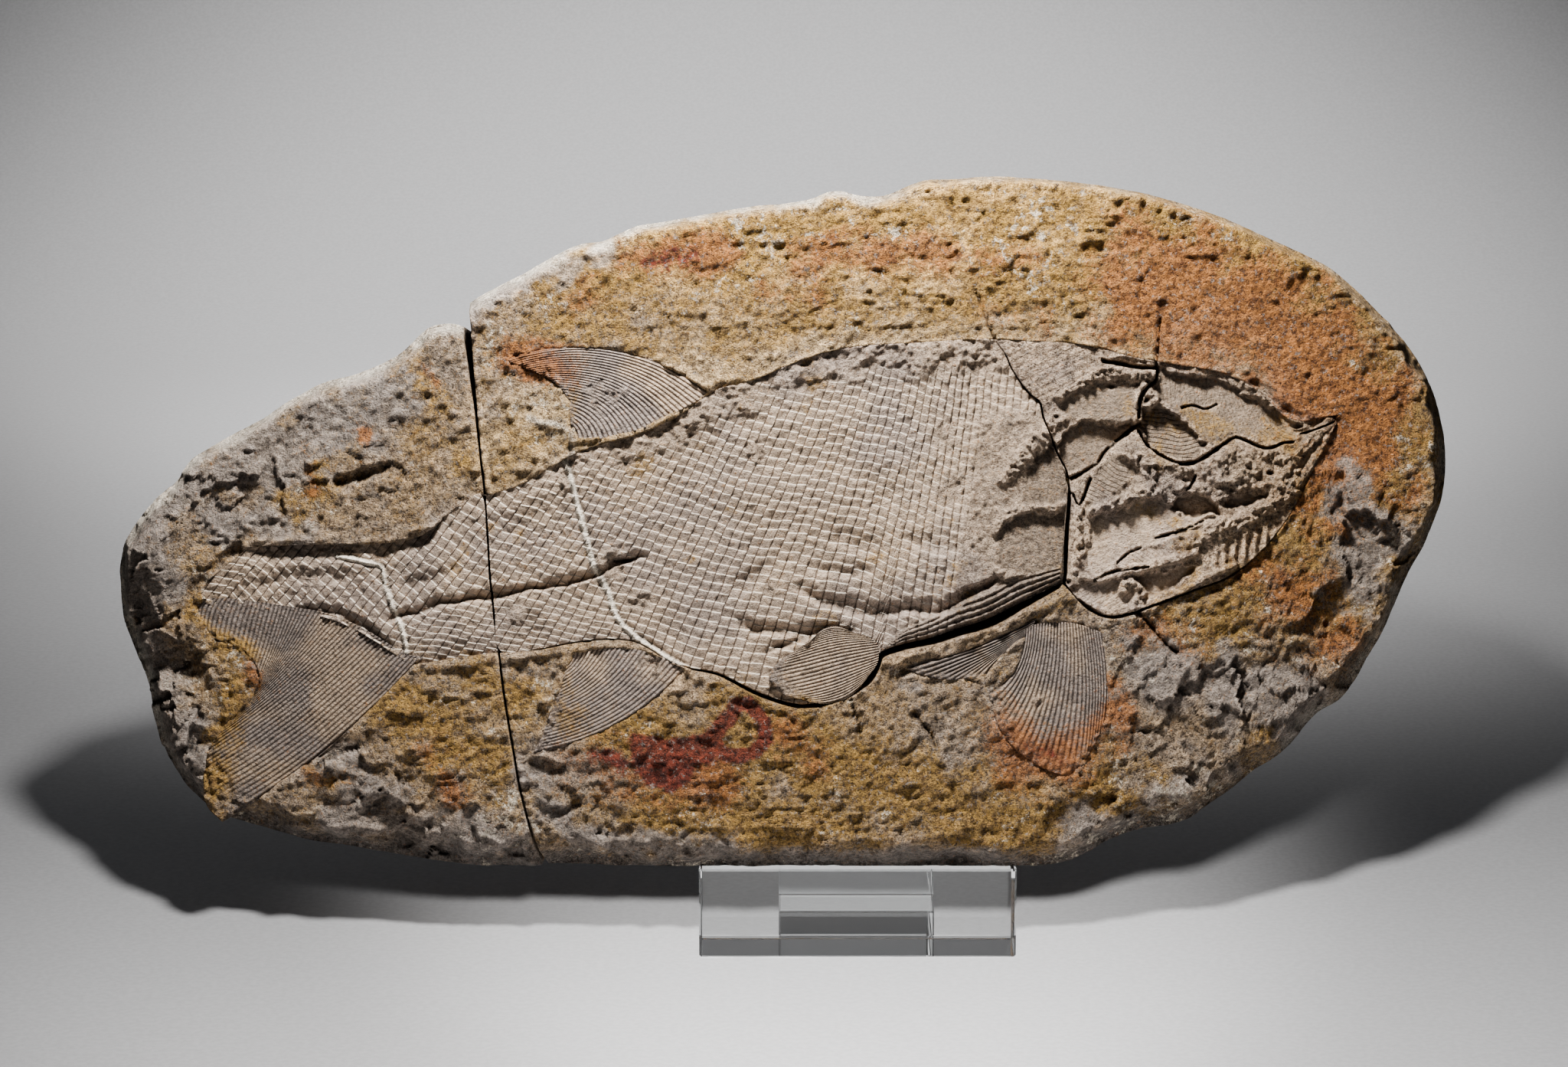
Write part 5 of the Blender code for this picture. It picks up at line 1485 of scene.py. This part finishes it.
def lay_plates(x, y, height, ripples):
    """Sunken bone plates, each on its own slope, laid into the head; also returns their cover."""
    plates = np.zeros(x.shape)
    for number, (outline, level, edge, slope, centre, strength) in enumerate(BONES):
        middle_x, middle_y = np.mean(outline, axis=0)
        ragged = 3.0 * cloud(x, y, 12, 510 + number, 3) + 1.5 * noise(x, y, 5, 540 + number)
        cover = ramp(depth_inside(x, y, outline) + ragged, -0.2 * edge, 0.4 * edge)
        plane = (slope[0] * (x - middle_x) + slope[1] * (y - middle_y)) / 100
        plane = plane + 0.85 * level * (1 - 0.3 * ramp(middle_y, 640, 680))
        ring = np.hypot(x - centre[0], y - centre[1]) / 5.6 + 0.45 * cloud(x, y, 20, 530 + number, 2)
        fresh = np.stack((ring, (x + 0.3 * y) / 6.0, strength * cover), -1)
        ripples = np.where((cover > 0.4)[..., None], fresh, ripples)
        height = height * (1 - cover) + (plane + 0.16 * cloud(x, y, 16, 533, 3)) * cover
        plates = np.maximum(plates, cover)
    return height, plates, ripples


def raise_ridges(x, y, height, plates):
    """Rubbly ridges between the plates, the eye's lump, and ribs on the lower jaw."""
    knobs = 1.0 * (0.55 - cells(x, y, 8.5, 551)[0]) + 0.6 * cloud(x, y, 5.5, 553, 2)
    for number, (line, half_width, rise, rough) in enumerate(RIDGES):
        ragged = 2.6 * rough * cloud(x, y, 13, 560 + number, 3)
        away = distance_to(x, y, smooth_line(line, step=6), reach=3 * half_width) + ragged
        hump = 1 - ramp(away, 0.2 * half_width, 1.15 * half_width)
        height = height * (1 - hump) + np.maximum(height, 0.8 * rise - 0.3 + rough * knobs) * hump
        plates = plates * (1 - hump)
    (eye_x, eye_y), (eye_w, eye_h), eye_rise = EYE_LUMP
    from_eye = np.hypot((x - eye_x) / eye_w, (y - eye_y) / eye_h) + 0.10 * cloud(x, y, 22, 571, 3)
    lump = 1 - ramp(from_eye, 0.5, 1.0)
    coarse = 0.7 * (0.5 - cells(x, y, 21, 572)[0]) + 0.55 * cloud(x, y, 13, 573, 3)
    height = height * (1 - lump) + (eye_rise + coarse + 0.5 * knobs) * lump
    jaw = bump(y - np.interp(x, (1595, 1660), (730, 700)), 34)
    ribs = ramp(x, 1585, 1600) * (1 - ramp(x, 1655, 1668)) * jaw
    return height + 0.55 * ribs * np.sin(x / 2.1 + 0.6 * np.sin(y / 14)), plates * (1 - lump)


def cut_cracks(x, y, height):
    """Open cracks and pits of the head."""
    for line, half_width in HEAD_CRACKS:
        away = distance_to(x, y, smooth_line(line, step=6), reach=12.0) + 0.5 * noise(x, y, 7, 581)
        height = height - HEAD_CRACK_DEPTH * bump(away, half_width * (1 + 0.3 * noise(x, y, 26, 582)))
    for (pit_x, pit_y), radius, depth in HEAD_PITS:
        away = np.hypot(x - pit_x, (y - pit_y) * 1.4) + 1.5 * noise(x, y, 6, 585)
        height = height - depth * bump(away, radius)
    return height


def head_relief(x, y):
    """The head: a rubbly ground, smoother at the nape, with plates, ridges and cracks.

    Also returns the plates' cover and a pattern of ripples for the shader.
    """
    height = -0.75 + 0.5 * cloud(x, y, 28, 501, 4) + 0.2 * cloud(x, y, 8, 503, 2)
    below_nape = y - np.interp(x, (1300, 1340, 1400, 1460, 1500), (560, 545, 515, 490, 475))
    nape = (1 - ramp(below_nape, -14, 6)) * (1 - ramp(x, 1440, 1490))
    ripples = np.stack(((0.5 * x + y) / 10.5, (0.62 * x - y) / 10.5, 0.7 * nape), -1)
    height = height * (1 - 0.6 * nape) - 0.2 * nape
    height, plates, ripples = lay_plates(x, y, height, ripples)
    height, plates = raise_ridges(x, y, height, plates)
    ripples[..., 2] *= np.clip(plates + nape, 0, 1)
    return cut_cracks(x, y, height) + face_level(x, y), plates, ripples


# How wide the crack in front of the head is down its length, in pixels
NECK_GAP_Y = (443, 520, 600, 650, 690, 750, 768)
NECK_GAP_PX = (2.2, 3.2, 3.6, 4.8, 6.4, 6.2, 3.6)


def head_piece():
    """The head as one sheet of rows between its back and jaw lines, from the neck crack to the snout."""
    left = smooth_line(NECK_CRACK, step=6)
    left[:, 0] += np.interp(left[:, 1], NECK_GAP_Y, NECK_GAP_PX)
    columns, rows = (int(size / HEAD_PITCH) for size in HEAD_SIZE)
    back, belly = smooth_line(HEAD_BACK, count=columns), smooth_line(HEAD_BELLY, count=columns)
    t = np.linspace(0, 1, rows)[:, None, None]
    s = np.linspace(0, 1, columns)[None, :, None]
    sheet = back * (1 - t) + belly * t
    border = smooth_line(left, count=rows)
    sheet = sheet + (border - sheet[:, 0])[:, None, :] * (1 - s) ** 2
    x, y = sheet[..., 0], sheet[..., 1]
    height, plates, ripples = head_relief(x, y)
    warm = ramp(x, 1500, 1700)
    tint = blend(BEIGE, FISH_GREY, ramp(cloud(x, y, 50, 591, 3), -0.5, 0.7))
    tint = blend(tint, SAND, 0.55 * warm)
    low_part = ramp(y, 630, 690)
    # The sunken plates are darker, partly their own browner bone and partly painted shade; the lower part is
    # lighter.
    tint = blend(tint, PLATE, 0.7 * plates * (1 - 0.6 * warm) * (1 - 0.8 * low_part))
    tint = tint * (1.06 - 0.1 * plates + 0.4 * low_part)[..., None]
    tint = tint * (1 + 0.10 * cloud(x, y, 10, 595, 3))[..., None]
    stains = stain_amounts(x, y)
    stains[..., :3] *= 0.3
    stains[..., 0] += 0.35 * ramp(cloud(x, y, 46, 593, 3), 0.1, 0.9) * ramp(x, 1400, 1500)
    stains[..., 3] *= 0.5
    grain = 0.25 + 0.7 * (1 - plates)
    return inlay("head", x, y, height, FISH_DEPTH, RAYED, tint, grain, stains, ripples)


def set_off(line, at_x, shift):
    """A line moved sideways by the shift, in pixels, that is given for some of its x."""
    points = smooth_line(line, step=6)
    along = np.gradient(points, axis=0)
    side = np.column_stack((-along[:, 1], along[:, 0])) / np.hypot(*along.T)[:, None]
    return points + side * np.interp(points[:, 0], at_x, shift)[:, None]


# How wide the crack under the belly and the throat is, in pixels
GAP_X = (640, 895, 915, 1000, 1060, 1150, 1200, 1300, 1350, 1392)
GAP_PX = (1.0, 1.0, 3.0, 5.5, 6.0, 9.0, 10.0, 13.0, 9.0, 5.0)


def build_stones():
    """The two stones; the lines above and below the fish go on to each stone's outer end."""
    top_extended = FLANK_BACK + HEAD_BACK[1:] + [(1800, 532), (1860, 526), (1885, 530)]
    crack_lip = set_off(FLANK_BELLY, GAP_X, GAP_PX).tolist()
    belly_extended = crack_lip + HEAD_BELLY[1:] + [(1800, 570), (1860, 580), (1894, 590)]
    stone_block("main_stone", [MAIN_TOP_RIM, top_extended, belly_extended, MAIN_BOTTOM_RIM],
                (MAIN_BREAK, MAIN_RIGHT_RIM), (MAIN_TOP_RIM, MAIN_RIGHT_RIM, MAIN_BOTTOM_RIM), main_hollow,
                400, (80, 94), "main_block")
    tail_top = [(152, 775)] + TAIL_BACK[:-1] + [(629, 645)]
    tail_bottom = [(153, 800)] + TAIL_BELLY
    stone_block("tail_stone", [TAIL_TOP_RIM, tail_top, tail_bottom, TAIL_BOTTOM_RIM],
                (TAIL_END, TAIL_BREAK), (TAIL_TOP_RIM, TAIL_END, TAIL_BOTTOM_RIM), tail_hollow,
                190, (78, 94), "tail_block")


def build_fish():
    """The flank, the tail lobe, the head and the fins, each on the stone that it lies in."""
    pieces = [
        scaled_piece("flank", FLANK_BACK[:-1] + NECK_CRACK, MAIN_BREAK[6:11] + FLANK_BELLY[1:]),
        scaled_piece("tail_lobe", TAIL_BACK[:-1] + [(628, 646)] + TAIL_BREAK[6:10], TAIL_BELLY),
        head_piece(),
    ]
    pieces += [fin_piece(name, fin) for name, fin in {**FINS, "pelvic_fin": PELVIC_FIN}.items()]
    for piece in pieces:
        node = "tail_block" if piece.name in ("tail_lobe", "tail_fin") else "main_block"
        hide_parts(node)


def build_rest():
    """The rest keeps its own solids and gets the clear material."""
    for node in ("rest_bar", "rest_foot", "rest_back"):
        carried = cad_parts[node]
        carried.data.materials.clear()
        carried.data.materials.append(ACRYLIC)
        carried.visible_shadow = False


# The paper lies this far below the rest, so that the bar's polished underside mirrors what is behind it
AIR_GAP = 0.0002


def build_studio():
    """Paper that lies flat, then curves up behind the object: a floor, a quarter circle and a wall."""
    turn_start, radius, wall_top = 0.75, 0.45, 1.6
    flat = np.linspace(-1.5, turn_start, 14)
    turn = np.linspace(0, math.pi / 2, 24)[1:]
    wall = np.linspace(radius, wall_top, 5)[1:]
    wall_y = np.full(len(wall), turn_start + radius)
    profile_y = np.concatenate((flat, turn_start + radius * np.sin(turn), wall_y))
    profile_z = np.concatenate((np.zeros(len(flat)), radius * (1 - np.cos(turn)), wall)) - AIR_GAP
    across = np.linspace(-1.8, 1.8, 12)
    x, y = np.meshgrid(across, profile_y)
    z = np.meshgrid(across, profile_z)[1]
    points = np.stack((x, y, z), -1).reshape(-1, 3)
    mesh = bpy.data.meshes.new("paper_sweep")
    mesh.from_pydata(points.tolist(), [], grid_quads(*x.shape).tolist())
    mesh.polygons.foreach_set("use_smooth", np.ones(len(mesh.polygons), bool))
    mesh.materials.append(PAPER)
    sweep = bpy.data.objects.new("paper_sweep", mesh)
    bpy.context.scene.collection.objects.link(sweep)
    return sweep


def aim(made, place, target):
    """Puts a lamp or the camera in its place, looking at the target."""
    made.location = place
    made.rotation_euler = (Vector(target) - Vector(place)).to_track_quat("-Z", "Y").to_euler()
    bpy.context.scene.collection.objects.link(made)


LAMP_COLOUR = (1.0, 0.985, 0.965)
# Lamps on the paper: energy, radius, place, target, and full angle in degrees. Front and low cast the stone's
# shadow from in front of it; back and middle light the paper behind it.
PAPER_LAMPS = {
    "front": (18.5, 0.018, (-0.02, -0.345, 0.335), (0.0, -0.02, 0.0), 74),
    "low": (33.0, 0.02, (0.0, -0.50, 0.26), (0.0, 0.0, 0.0), 24.5),
    "back": (68.0, 0.1, (-0.02, 0.40, 0.85), (-0.02, 0.84, 0.0), 57),
    "middle": (36.0, 0.1, (-0.02, 0.40, 0.85), (-0.02, 0.46, 0.0), 44),
}
SKY = (0.80, 0.82, 0.86, 1.0)
SKY_STRENGTH = 0.075


def lamp(name, kind, energy, place, target, lit):
    """A lamp that lights only the given objects; the others can still cast its shadow on them."""
    light = bpy.data.lights.new(name, kind)
    light.energy = energy
    light.color = LAMP_COLOUR
    made = bpy.data.objects.new(name, light)
    aim(made, place, target)
    group = bpy.data.collections.new(name + "_lights")
    for thing in lit:
        group.objects.link(thing)
    made.light_linking.receiver_collection = group
    return light


def build_lights(object_parts, sweep):
    """A key lamp that grazes the relief from above and lights only the object, the lamps on the paper, and a
    faint sky on both.
    """
    key = lamp("key", "AREA", 4.75, (-0.03, -0.06, 0.355), (0.0, 0.0, 0.05), object_parts)
    key.shape = "DISK"
    key.size = 0.05
    for name, (energy, radius, place, target, angle) in PAPER_LAMPS.items():
        spot = lamp(name, "SPOT", energy, place, target, [sweep])
        spot.shadow_soft_size = radius
        spot.spot_blend = 1.0
        spot.spot_size = math.radians(angle)
    world = bpy.data.worlds.new("studio")
    bpy.context.scene.world = world
    world.use_nodes = True
    background = world.node_tree.nodes["Background"]
    background.inputs["Color"].default_value = SKY
    background.inputs["Strength"].default_value = SKY_STRENGTH


def build_camera():
    """The camera, square to the leaning face, where the picture is as wide as the photograph."""
    lens, sensor = 100.0, 36.0
    width = PICTURE_PX[0] / PX_PER_MM * MM
    distance = width * lens / sensor
    middle_x, middle_y = (np.array([size / 2]) for size in PICTURE_PX)
    target = on_stone(middle_x, middle_y, np.array([0.0]))[0]
    out = np.array((0.0, -COS, SIN))
    camera = bpy.data.cameras.new("camera")
    camera.lens = lens
    camera.sensor_width = sensor
    made = bpy.data.objects.new("camera", camera)
    aim(made, target + out * distance, target)
    bpy.context.scene.camera = made


build_stones()
build_fish()
build_rest()
pieces = [made for made in bpy.context.scene.objects if made.type == "MESH"]
build_lights(pieces, build_studio())
build_camera()
